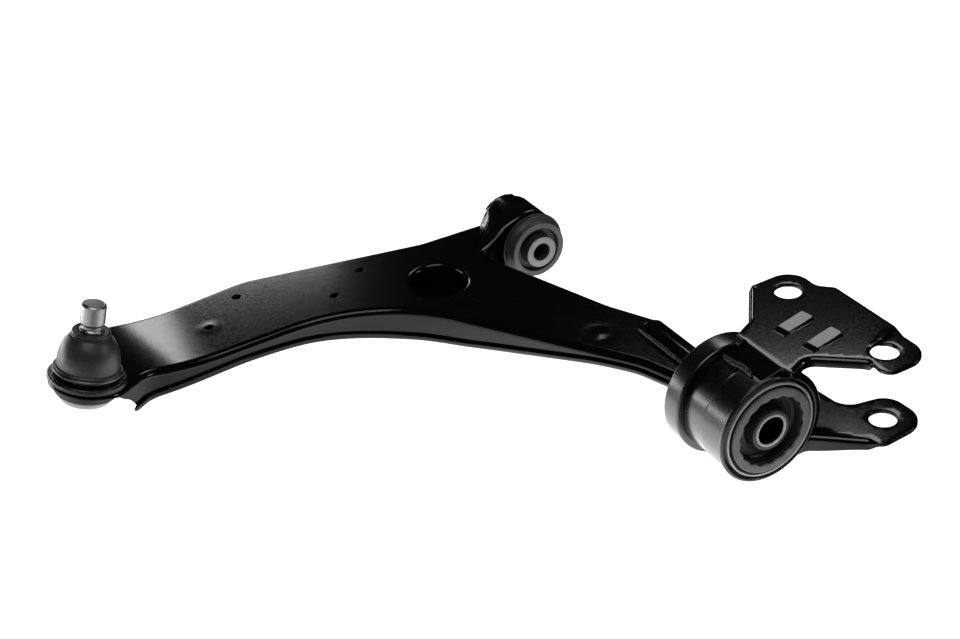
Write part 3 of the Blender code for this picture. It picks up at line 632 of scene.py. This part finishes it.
def make_upper_shell():
    def rim(number, index, point):
        if number == 0:
            deep = PLATE_TOP - floor_level(point.x, point.y) - 3.5
            face = [(6.8, 0.0), (5.9, 0.0), (5.3, 0.0)] + quarter(5.0, 8)
            wall = [(0.0, (5.0 + deep) / 2.0), (0.0, deep - 0.4), (0.3, deep), (2.7, deep), (3.0, deep - 0.4),
                    (3.0, 5.6)]
            return face + wall + inner_edge(SHELL_STEEL, 2.2, 3)
        if number == 1:
            face = [(5.6, 0.0), (4.8, 0.0), (4.3, 0.0)] + quarter(4.0, 8)
            wall = [(0.0, 8.6), (0.3, 9.0), (2.7, 9.0), (3.0, 8.6), (3.0, 5.6)]
            return face + wall + inner_edge(SHELL_STEEL, 2.2, 3)
        return [(1.7, 0.0), (1.0, 0.0), (0.5, 0.0)] + quarter(0.35, 2) + [(0.0, 2.0), (0.0, SHELL_STEEL)]

    loops = [outline_loop(ARM_OUTLINE, 4.0), slot_loop(*WINDOW, 2.0)]
    loops += [circle_loop(x, y, radius, 32) for x, y, radius in ARM_HOLES]
    upper = plate("upper_shell_skin", loops, rim, top_level, 4.0)
    housing = rod_cutter("housing_cutter", HOUSING_R, -60.0, 60.0, BALL)
    flare = ((27.3, -4.0), (54.9, -50.0), (17.0, -50.0), (17.0, -4.0))
    end = turned("end_cutter", flare, BALL, 0.0, True, 128)
    barrel = rod_cutter("barrel_cutter", BARREL_R, -18.0, 18.0, along_x(FRONT_X))
    spigot = rod_cutter("spigot_cutter", SPIGOT_R, -136.8, 0.0, along_x())
    cut_away(upper, housing, end, barrel, spigot)
    wear(upper, ARM_PAINT, "black_paint", "arm", "arm_upper_shell")


def make_lower_shell():
    def level(x, y):
        return floor_level(x, y) + lift(y)

    def rim(number, index, point):
        lip = [(0.0, 4.6), (0.25, 4.9), (0.7, 5.05), (1.8, 5.05), (2.25, 4.9), (2.5, 4.6), (2.5, 4.0)]
        return quarter(3.4, 5) + lip + inner_edge(TRAY_STEEL, 1.2, 2)

    lower = plate("lower_shell_skin", [outline_loop(ARM_OUTLINE, 4.0, 2.8)], rim, level, 6.0, up=True)
    flare = ((0.0, 60.0), (27.3, 60.0), (27.3, -4.0), (54.9, -50.0), (0.0, -50.0))
    end = turned("end_cutter", flare, BALL, 0.0, False, 128)
    barrel = rod_cutter("barrel_cutter", BARREL_R, -18.0, 18.0, along_x(FRONT_X))
    spigot = rod_cutter("spigot_cutter", SPIGOT_R, -136.8, 0.0, along_x())
    cut_away(lower, end, barrel, spigot)
    wear(lower, ARM_PAINT, "black_paint", "arm", "arm_lower_shell")


def saddle_reach(x, y):
    """The saddle's foot comes closer to the barrel towards the far end."""
    share = (x + 332.0) / 35.7
    return y if y > -8.0 else -8.0 + (y + 8.0) * (0.42 + 0.58 * share)


def make_saddle():
    """The part of the upper shell that laps over the barrel and runs down to the arm."""
    section = ((-332.0, 1.4), (-331.8, 0.6), (-331.0, 0.12), (-330.0, 0.0), (-299.0, 0.0), (-298.0, 0.15),
               (-297.0, 0.6), (-296.3, 1.4), (-296.3, 2.6), (-332.0, 2.6))
    ridge = curve_through(SADDLE_LINE, 6)
    last = len(ridge) - 1
    sections = []
    for index, point in enumerate(ridge):
        run = (ridge[min(index + 1, last)] - ridge[max(index - 1, 0)]).normalized()
        into = Vector((-run.y, run.x))
        spots = [(x, point + into * drop) for x, drop in section]
        sections.append([(x, saddle_reach(x, spot.x), spot.y) for x, spot in spots])
    wear(skinned("saddle_skin", sections), PAINT, "black_paint", "arm", "arm_upper_shell")


def make_spigot():
    profile = ((12.0, 1.0), (12.0, -63.0), (13.2, -65.0), (13.2, -136.0), (12.2, -137.0), (10.2, -137.0),
               (10.2, 1.0))
    wear(turned("spigot_tube", profile, along_x(), 0.5), PAINT, "black_paint", "arm", "rear_spigot")
    path = [(-133.0 + 57.0 * k / 220, -11.3, 12.1) for k in range(221)]
    bead = tube("spigot_bead", path, 1.9, 20, bead_shape(18, 1.7))
    wear(bead, ROUGH_PAINT, "black_paint", "arm", "spigot_weld")


def make_front_bush():
    place = along_x(FRONT_X)
    barrel = turned("barrel_skin", ((25.0, 18.6), (25.0, -18.6), (22.7, -18.6), (22.7, 18.6)), place, 0.7)
    wear(barrel, PAINT, "black_paint", "arm", "front_bush_barrel")
    outer = turned("outer_sleeve_skin", (
        (25.9, 20.9), (25.9, 18.9), (22.4, 18.9), (22.4, -19.6), (20.7, -19.6), (20.7, 20.9)), place, 0.6)
    wear(outer, DARK_SLEEVE, "black_paint", "arm", "front_bush_outer_sleeve")
    rubber = turned("front_rubber_skin", (
        (22.0, 29.0), (22.3, 28.2), (23.0, 26.4), (22.7, 25.9), (23.3, 25.2), (24.6, 22.4), (24.9, 21.2),
        (20.4, 21.2), (20.4, -22.6), (12.9, -22.6), (12.9, 24.7), (16.6, 24.7), (17.4, 25.6), (17.6, 29.0)),
        place, 0.35, steps=160)
    wear(rubber, FLANGE_RUBBER, "bush_rubber", "arm", "front_bush_rubber")
    ring = turned("front_rubber_face", ((22.0, 29.7), (22.2, 28.8), (17.8, 28.8), (17.9, 29.7)), place, 0.3,
                  steps=160)
    wear(ring, GREY_RUBBER, "bush_rubber", "arm", "front_bush_rubber")
    sleeve = turned("front_inner_sleeve_skin", (
        (12.0, 33.7), (12.6, 33.1), (12.6, -33.1), (12.0, -33.7), (7.8, -33.7), (7.2, -33.1), (7.2, 33.1),
        (7.8, 33.7)), place, 0.3)
    wear(sleeve, DARK_SLEEVE, "bare_steel", "front_sleeve", "front_bush_inner_sleeve")
    for name, far, near in (("front_sleeve_face", 33.5, 33.9), ("front_sleeve_far_face", -33.9, -33.5)):
        face = turned(name, ((12.4, near), (12.4, far), (7.3, far), (7.3, near)), place, 0.15)
        wear(face, SLEEVE, "bare_steel", "front_sleeve", "front_bush_inner_sleeve")
    end = FRONT_X - 18.6
    angles = np.radians(np.linspace(82.0, 132.0, 120))
    path = [(end + 0.2, 26.2 * math.cos(a), 26.2 * math.sin(a)) for a in angles]
    bead = tube("barrel_bead", path, 1.2, 18, bead_shape(11, 4.1))
    wear(bead, ROUGH_PAINT, "black_paint", "arm", "barrel_weld")


def scallop(reach, height, angle):
    """Waves of the stop ring's inner edge."""
    if reach < 28.0:
        wave = 0.5 * math.cos(18.0 * angle)
        reach += wave + 0.25 * math.cos(5.0 * angle + 1.0)
    return reach, height


def make_rear_bush():
    place = along_x()
    can = turned("can_skin", (
        (38.2, 0.0), (39.1, -0.8), (39.1, -2.2), (38.0, -3.2), (38.0, -22.6), (36.9, -24.2), (36.9, -44.0),
        (35.0, -44.0), (35.0, -4.0), (36.7, -3.0), (36.9, -0.4), (37.4, 0.0)), place, 0.5, steps=192)
    wear(can, CAN_PAINT, "black_paint", "bracket", "rear_bush_can")
    collar = turned("collar_skin", (
        (41.0, -44.3), (41.8, -45.4), (41.8, -59.1), (40.6, -60.3), (26.0, -60.3), (26.0, -57.8),
        (35.4, -57.8), (35.4, -44.3)), place, 0.8, steps=192)
    wear(collar, CAN_PAINT, "black_paint", "bracket", "rear_bush_collar")
    # The outer sleeve's end shows as a pale ring: bare steel, lightened as painted highlight.
    outer = turned("rear_outer_sleeve_skin", ((34.4, 0.6), (34.6, -44.0), (33.2, -44.0), (33.0, 0.6)), place,
                   0.35, steps=192)
    wear(outer, RIM_STEEL_AND_HIGHLIGHT, "bare_steel", "bracket", "rear_bush_outer_sleeve")
    rubber = turned("rear_rubber_skin", (
        (32.9, -3.0), (32.9, -54.0), (14.8, -54.0), (14.8, -4.0), (16.0, -6.5), (18.5, -7.4), (23.0, -7.4),
        (24.2, -6.0), (24.8, 0.0), (31.0, 0.0), (31.2, -3.0)), place, 0.3, steps=160)
    wear(rubber, RUBBER, "bush_rubber", "bracket", "rear_bush_rubber")
    ring = turned("stop_ring_skin", ((31.0, 2.4), (31.2, 0.3), (25.6, 0.3), (25.5, 2.3)), place, 0.7,
                  steps=288, wobble=scallop)
    wear(ring, GREY_RUBBER, "grey_rubber", "bracket", "rear_bush_stop_ring")
    sleeve = turned("rear_inner_sleeve_skin", (
        (14.0, 1.4), (14.5, 0.9), (14.5, -62.0), (12.3, -62.0), (12.3, 1.4)), place, 0.3)
    wear(sleeve, DARK_SLEEVE, "bare_steel", "arm", "rear_bush_inner_sleeve")
    # Pale ring on the end of the black-painted spigot: a painted highlight on its rim.
    rim = turned("spigot_end_rim", ((12.1, 1.5), (12.2, 0.6), (10.1, 0.6), (10.3, 1.5)), place, 0.3)
    wear(rim, RIM_STEEL_AND_HIGHLIGHT, "black_paint", "arm", "rear_spigot")


# ---------------------------------------------------------------- bracket

def near_segment(point, start, end):
    """Distance from a point to a straight run."""
    start, end = Vector(start), Vector(end)
    run = end - start
    share = min(max((point - start).dot(run) / run.length_squared, 0.0), 1.0)
    return (point - start - run * share).length


def edge_rim(share, steel, flange):
    """(inset, drop) round the edge of a plate; share 1 turns the edge down into a flange of that depth."""
    deep = steel + flange
    plain = quarter(0.9, 5) + [
        (0.0, 1.2), (0.0, steel - 0.7), (0.3, steel - 0.15), (0.7, steel), (1.0, steel), (1.2, steel),
        (1.6, steel), (2.0, steel)]
    bent = quarter(4.0, 5) + [
        (0.0, deep / 2.0 + 1.8), (0.0, deep - 0.5), (0.4, deep), (steel - 0.4, deep), (steel, deep - 0.5),
        (steel, steel + 1.2), (steel + 0.5, steel + 0.3), (steel + 1.4, steel)]
    return [(a[0] + (b[0] - a[0]) * share, a[1] + (b[1] - a[1]) * share) for a, b in zip(plain, bent)]


def flange_shares(loop, runs, fade):
    """How far each point of a loop is turned down: 1 along the runs, and none beyond fade mm from them."""
    shares = []
    for point, _ in loop:
        near = min(min(near_segment(point, a, b) for a, b in zip(run, run[1:])) for run in runs)
        shares.append(smooth(1.0 - (near - 1.0) / fade))
    return shares


def stiffening_rib(name, x, y):
    """Flat-topped rib pressed up from the upper plate; its top slopes up a little along its length."""
    along_way = Vector((math.cos(RIB_TURN), math.sin(RIB_TURN)))
    across_way = Vector((along_way.y, -along_way.x))
    alongs = np.linspace(-16.0, 16.0, 97)
    acrosses = np.linspace(-7.0, 7.0, 57)
    half_length, half_width = RIB_HALF
    verts, faces = [], []
    for level in (0, 1):
        for along in alongs:
            for across in acrosses:
                spot = Vector((x, y)) + along_way * float(along) + across_way * float(across)
                side = max(abs(across) - half_width + RIB_CORNER, 0.0)
                end = max(along - half_length + RIB_CORNER, 0.0)
                share = smooth((RIB_CORNER - math.hypot(side, end)) / 1.7)
                share *= smooth((along + half_length) / 8.0)
                rise = share * (RIB_HEIGHT + RIB_SLOPE * along) if level else -0.8
                verts.append((spot.x, spot.y, UPPER_TOP - 0.15 * level + rise))
    wide, long = len(acrosses), len(alongs)
    layer = wide * long
    for i in range(long - 1):
        for j in range(wide - 1):
            corner = i * wide + j
            above = layer + corner
            faces.append((above, above + wide, above + wide + 1, above + 1))
            faces.append((corner, corner + 1, corner + wide + 1, corner + wide))
    border = list(range(wide)) + [i * wide + wide - 1 for i in range(1, long)]
    border += [(long - 1) * wide + j for j in range(wide - 2, -1, -1)]
    border += [i * wide for i in range(long - 2, 0, -1)]
    for here, after in zip(border, border[1:] + border[:1]):
        faces.append((here, after, layer + after, layer + here))
    return finish_mesh(name, verts, faces)


def make_upper_plate():
    def level(x, y):
        height = UPPER_TOP
        if y < STRAP_START:
            height -= STRAP_SLOPE * (STRAP_START - y) * smooth((STRAP_START - y) / 3.0)
        crease = near_segment(Vector((x, y)), (12.0, 74.0), (4.0, 92.0))
        return height + 0.7 * smooth(1.0 - crease / 3.0)

    loops = [outline_loop(UPPER_OUTLINE, 2.0)] + [circle_loop(x, y, BOLT_R, 64) for x, y in UPPER_HOLES]
    runs = (((4.5, 16.0), (-1.5, 30.0), (24.0, 58.0)), ((-93.0, 53.0), (-61.5, 29.0), (-54.0, 14.0)))
    shares = flange_shares(loops[0], runs, 3.0)

    def rim(number, index, point):
        return edge_rim(0.0 if number else shares[index], BRACKET_STEEL, UPPER_FLANGE)

    upper = plate("upper_bracket_skin", loops, rim, level, 2.6)
    wear(upper, PAINT, "black_paint", "bracket", "bracket_upper_plate")
    for number, (x, y) in enumerate(RIBS):
        rib = stiffening_rib("stiffening_rib_%d" % number, x, y)
        wear(rib, PAINT, "black_paint", "bracket", "bracket_upper_plate")


def make_lower_plate():
    def level(x, y):
        return LOWER_TOP

    loops = [outline_loop(LOWER_OUTLINE, 2.0)] + [circle_loop(x, y, BOLT_R, 64) for x, y in LOWER_HOLES]
    shares = flange_shares(loops[0], (((-1.0, 24.0), (-1.0, 31.5), (24.5, 58.6)),), 9.0)

    def rim(number, index, point):
        flange = 9.0 - 4.5 * smooth((point.x + 2.0) / 30.0)
        return edge_rim(0.0 if number else shares[index], BRACKET_STEEL, flange)

    lower = plate("lower_bracket_skin", loops, rim, level, 4.0)
    cut_away(lower, rod_cutter("can_cutter", 38.2, -70.0, 0.6, along_x(), 128))
    wear(lower, PAINT, "black_paint", "bracket", "bracket_lower_plate")


def make_web():
    """The wall of the lower plate that wraps the can up to the upper plate."""
    section = [(38.1, -43.0), (38.1, -1.0), (41.2, -1.0), (42.0, -1.8), (42.0, -42.2), (41.2, -43.0)]
    angles = np.radians(np.linspace(-31.0, 56.0, 40))
    sections = [[(x, radius * math.cos(a), radius * math.sin(a)) for radius, x in section] for a in angles]
    wear(skinned("web_skin", sections), PAINT, "black_paint", "bracket", "bracket_lower_plate")


def make_can_weld():
    angle = math.radians(98.5)
    path = []
    for k in range(151):
        waver = 0.03 * math.sin(k / 22.0)
        path.append((-42.5 + 31.5 * k / 150, 38.6 * math.cos(angle + waver), 38.6 * math.sin(angle)))
    bead = tube("can_bead", path, 2.3, 22, bead_shape(8, 9.3))
    wear(bead, ROUGH_PAINT, "black_paint", "bracket", "can_weld")


# ---------------------------------------------------------------- ball joint


def make_housing():
    flange = turned("housing_flange", (
        (20.0, 9.0), (20.0, 5.6), (23.0, 4.6), (26.2, 4.4), (27.0, 3.4), (27.0, 1.2), (26.2, 0.3),
        (21.7, 0.3), (21.6, -0.8), (19.8, -0.8), (16.5, -5.0), (16.5, 5.0), (14.5, 7.0), (14.5, 9.0)), BALL, 0.7)
    wear(flange, CRIMP, "black_paint", "arm", "ball_joint_housing")
    can = turned("housing_can", (
        (21.6, 0.2), (21.6, -8.4), (20.6, -9.8), (18.7, -9.8), (18.7, -8.7), (19.8, -8.7),
        (19.8, 0.2)), BALL, 0.6)
    wear(can, HOUSING, "black_paint", "arm", "ball_joint_housing")
    cover = turned("cover_skin", (
        (0.0, -14.2), (15.0, -14.2), (16.6, -12.6), (16.6, -5.4), (19.5, -5.4), (19.5, -8.3), (18.4, -8.6),
        (18.3, -12.4), (16.8, -14.8), (11.0, -16.0), (0.0, -16.4)), BALL, 0.6, False)
    wear(cover, ZINC, "bright_zinc", "arm", "ball_joint_cover")
    wear(frame["nodes"]["ball_joint_bearing"], ACETAL, "acetal", None)


def make_boot():
    """The boot's wall as two meshes, one below BOOT_SPLIT and one above it; neither is put on a body here."""
    clamp = turned("clamp_wire", wire_section(22.9, 8.4, 0.95, 12), BALL, 0.1)
    wear(clamp, WIRE, "bright_zinc", "arm", "boot_clamp_ring")
    wall = curve_through((
        (12.4, 34.2), (13.5, 33.3), (14.9, 32.0), (17.8, 28.0), (20.0, 23.0), (21.2, 17.0),
        (21.3, 12.4), (21.0, 11.0)))
    back = curve_through(((19.0, 11.2), (19.2, 16.0), (18.4, 21.2), (15.8, 27.0), (12.4, 31.0), (10.4, 33.0)))
    neck = [(8.8, 37.2), (11.6, 37.4), (12.9, 36.9), (13.4, 35.8), (12.9, 34.9)]
    foot = [(22.2, 10.2), (22.4, 9.5), (21.9, 8.6), (21.9, 8.0), (22.3, 7.0), (22.1, 5.8),
            (20.3, 5.9), (20.3, 9.3)]
    split_wall = [Vector((BOOT_SPLIT_R[0], BOOT_SPLIT))]
    split_back = [Vector((BOOT_SPLIT_R[1], BOOT_SPLIT))]
    upper_profile = neck + [p for p in wall if p.y > BOOT_SPLIT] + split_wall + split_back
    upper_profile += [p for p in back if p.y > BOOT_SPLIT] + [(8.8, 34.0)]
    lower_profile = split_wall + [p for p in wall if p.y <= BOOT_SPLIT] + foot
    lower_profile += [p for p in back if p.y <= BOOT_SPLIT] + split_back
    high = turned("boot_upper_half", upper_profile, BALL, 0.15)
    low = turned("boot_lower_half", lower_profile, BALL, 0.15)
    for obj in (high, low):
        wear(obj, BOOT, "boot_rubber", None, "dust_boot")
    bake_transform(low)
    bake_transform(high)
    ring = turned("boot_top_wire", wire_section(12.9, 34.2, 0.6, 10), BALL, 0.1)
    wear(ring, CRIMP, "bare_steel", "boot_collar", "boot_top_ring")


def make_stud():
    top = 55.0
    stud = turned("stud_skin", (
        (0.0, top + 1.7), (6.6, top + 1.7), (7.4, top + 1.95), (8.5, top + 0.8), (8.5, 43.4), (7.8, 42.2),
        (7.0, 41.4), (7.0, 39.4), (8.3, 38.0), (8.4, 33.0), (6.6, 14.0), (6.4, 11.5), (9.6, 6.0), (11.6, 2.0),
        (11.8, -2.0), (11.0, -6.2), (8.4, -10.2), (4.5, -12.8), (0.0, -13.8)), BALL, 0.3, False)
    wear(stud, STUD, "bare_steel", "stud", "ball_stud")
    disc = ((0.0, top + 2.0), (6.5, top + 2.0), (6.5, top + 1.5), (0.0, top + 1.5))
    face = turned("stud_end_disc", disc, BALL, 0.2, False)
    wear(face, STUD_FACE, "bare_steel", "stud", "ball_stud")


make_upper_shell()
make_lower_shell()
make_saddle()
make_spigot()
make_front_bush()
make_rear_bush()
make_upper_plate()
make_lower_plate()
make_web()
make_can_weld()
make_housing()
make_boot()
make_stud()

# ---------------------------------------------------------------- studio

FLOOR_GAP = 0.165                       # below the part, so that the arm swings down clear of the floor
MIRROR_GAP = 0.003                      # of the card that only reflections see
low, high = Vector(CAD_BOUNDS[0]), Vector(CAD_BOUNDS[1])
centre = (low + high) / 2.0


def flat_card(name, half, gap):
    """Square sheet that far below the part."""
    corners = [(-half, -half, 0.0), (half, -half, 0.0), (half, half, 0.0), (-half, half, 0.0)]
    mesh = bpy.data.meshes.new(name)
    mesh.from_pydata(corners, [], [(0, 1, 2, 3)])
    card = bpy.data.objects.new(name, mesh)
    bpy.context.scene.collection.objects.link(card)
    card.location = (centre.x, centre.y, low.z - gap)
    return card


def make_floor():
    floor = flat_card("studio_floor", 3.0, FLOOR_GAP)
    material, nodes, links = new_material("pale_floor")
    shader = nodes["Principled BSDF"]
    place = nodes.new("ShaderNodeTexCoord").outputs["Object"]
    grain = noise_node(nodes, links, place, 300.0)
    tone = mixed_colour(nodes, links, grain, (0.86, 0.86, 0.86), (0.9, 0.9, 0.9))
    links.new(tone, shader.inputs["Base Color"])
    shader.inputs["Roughness"].default_value = 0.9
    shader.inputs["Specular IOR Level"].default_value = 0.0
    shader.inputs["Emission Color"].default_value = (1.0, 1.0, 1.0, 1.0)
    shader.inputs["Emission Strength"].default_value = 1.0
    floor.data.materials.append(material)
    floor.visible_glossy = False


def make_reflection_floor():
    """What the glossy paint mirrors below the horizon: bright to the left, dark to the right."""
    card = flat_card("reflection_floor", 4.0, MIRROR_GAP)
    material, nodes, links = new_material("reflection_floor")
    nodes.remove(nodes["Principled BSDF"])
    place = nodes.new("ShaderNodeTexCoord").outputs["Object"]
    terms = []
    for way, start, end, strength in (((-0.6, -0.8, 0.0), 0.12, 0.7, 1.3), ((-0.6, -0.8, 0.0), 0.5, 1.4, 4.0),
                                      ((-0.2, -1.0, 0.0), -0.25, 0.12, 0.45)):
        along = nodes.new("ShaderNodeVectorMath")
        along.operation = "DOT_PRODUCT"
        along.inputs[1].default_value = way
        links.new(place, along.inputs[0])
        terms.append(ranged(nodes, links, along.outputs["Value"], 0.0, strength, start, end))
    near = nodes.new("ShaderNodeVectorMath")
    near.operation = "DISTANCE"
    near.inputs[1].default_value = (0.07, 0.03, 0.0)
    links.new(place, near.inputs[0])
    terms.append(ranged(nodes, links, near.outputs["Value"], 2.4, 0.0, 0.08, 0.26))
    total = terms[0]
    for term in terms[1:]:
        add = nodes.new("ShaderNodeMath")
        links.new(total, add.inputs[0])
        links.new(term, add.inputs[1])
        total = add.outputs["Value"]
    shine = nodes.new("ShaderNodeEmission")
    links.new(total, shine.inputs["Strength"])
    links.new(shine.outputs["Emission"], nodes["Material Output"].inputs["Surface"])
    card.data.materials.append(material)
    card.visible_camera = False
    card.visible_diffuse = False
    card.visible_shadow = False


def softbox(name, azimuth, elevation, distance, width, height, power, aim=centre):
    """Area light round the object.  Azimuth 0 is behind it, as the camera sees it, and 90 to its right."""
    away = Vector((-0.890, 0.455, 0.0))
    side = Vector((0.455, 0.890, 0.0))
    turn, rise = math.radians(azimuth), math.radians(elevation)
    heading = away * math.cos(turn) + side * math.sin(turn)
    way = heading * math.cos(rise) + Vector((0, 0, 1)) * math.sin(rise)
    light = bpy.data.lights.new(name, "AREA")
    light.shape = "RECTANGLE"
    light.size = width
    light.size_y = height
    light.energy = power
    obj = bpy.data.objects.new(name, light)
    bpy.context.scene.collection.objects.link(obj)
    obj.location = aim + way * distance
    obj.rotation_euler = (-way).to_track_quat("-Z", "Y").to_euler()
    obj.visible_camera = False


def make_world():
    """A backdrop as pale as the floor where it is seen, and dark where it only lights the part."""
    world = bpy.data.worlds.new("studio")
    world.use_nodes = True
    nodes, links = world.node_tree.nodes, world.node_tree.links
    dim = nodes["Background"]
    dim.inputs["Color"].default_value = (0.008, 0.008, 0.0082, 1.0)
    pale = nodes.new("ShaderNodeBackground")
    pale.inputs["Color"].default_value = (1.0, 1.0, 1.0, 1.0)
    mix = nodes.new("ShaderNodeMixShader")
    path = nodes.new("ShaderNodeLightPath")
    links.new(path.outputs["Is Camera Ray"], mix.inputs["Fac"])
    links.new(dim.outputs["Background"], mix.inputs[1])
    links.new(pale.outputs["Background"], mix.inputs[2])
    links.new(mix.outputs["Shader"], nodes["World Output"].inputs["Surface"])
    bpy.context.scene.world = world


def make_camera():
    """At the left rear of the part, looking down on it by about 33 degrees."""
    elevation, heading, roll = math.radians(32.69), math.radians(27.09), math.radians(5.37)
    level_right = Vector((math.sin(heading), math.cos(heading), 0.0))
    toward = Vector((math.cos(heading), -math.sin(heading), 0.0))
    back = math.cos(elevation) * toward + math.sin(elevation) * Vector((0.0, 0.0, 1.0))
    level_up = math.cos(elevation) * Vector((0.0, 0.0, 1.0)) - math.sin(elevation) * toward
    right = math.cos(roll) * level_right - math.sin(roll) * level_up
    up = math.sin(roll) * level_right + math.cos(roll) * level_up
    data = bpy.data.cameras.new("studio_camera")
    data.lens = 67.5
    data.sensor_width = 36.0
    camera = bpy.data.objects.new("studio_camera", data)
    bpy.context.scene.collection.objects.link(camera)
    view = Matrix((right, up, back)).transposed().to_4x4()
    view.translation = Vector((0.7710, -0.6635, 0.6598))
    camera.matrix_world = view
    bpy.context.scene.camera = camera


make_floor()
make_reflection_floor()
softbox("bend_softbox", -8.0, 25.0, 3.0, 0.62, 0.36, 5.4, BALL_CENTRE)
softbox("rib_softbox", 8.5, 42.5, 1.5, 0.4, 0.34, 1.7, ZERO)
softbox("left_softbox", -68.0, 5.0, 1.6, 1.1, 0.36, 7.0)
softbox("top_softbox", 170.0, 72.0, 1.6, 1.1, 0.8, 9.0)
softbox("right_softbox", 95.0, 22.0, 1.6, 0.5, 0.35, 3.0)
make_world()
bpy.context.scene.view_settings.view_transform = "Standard"
make_camera()
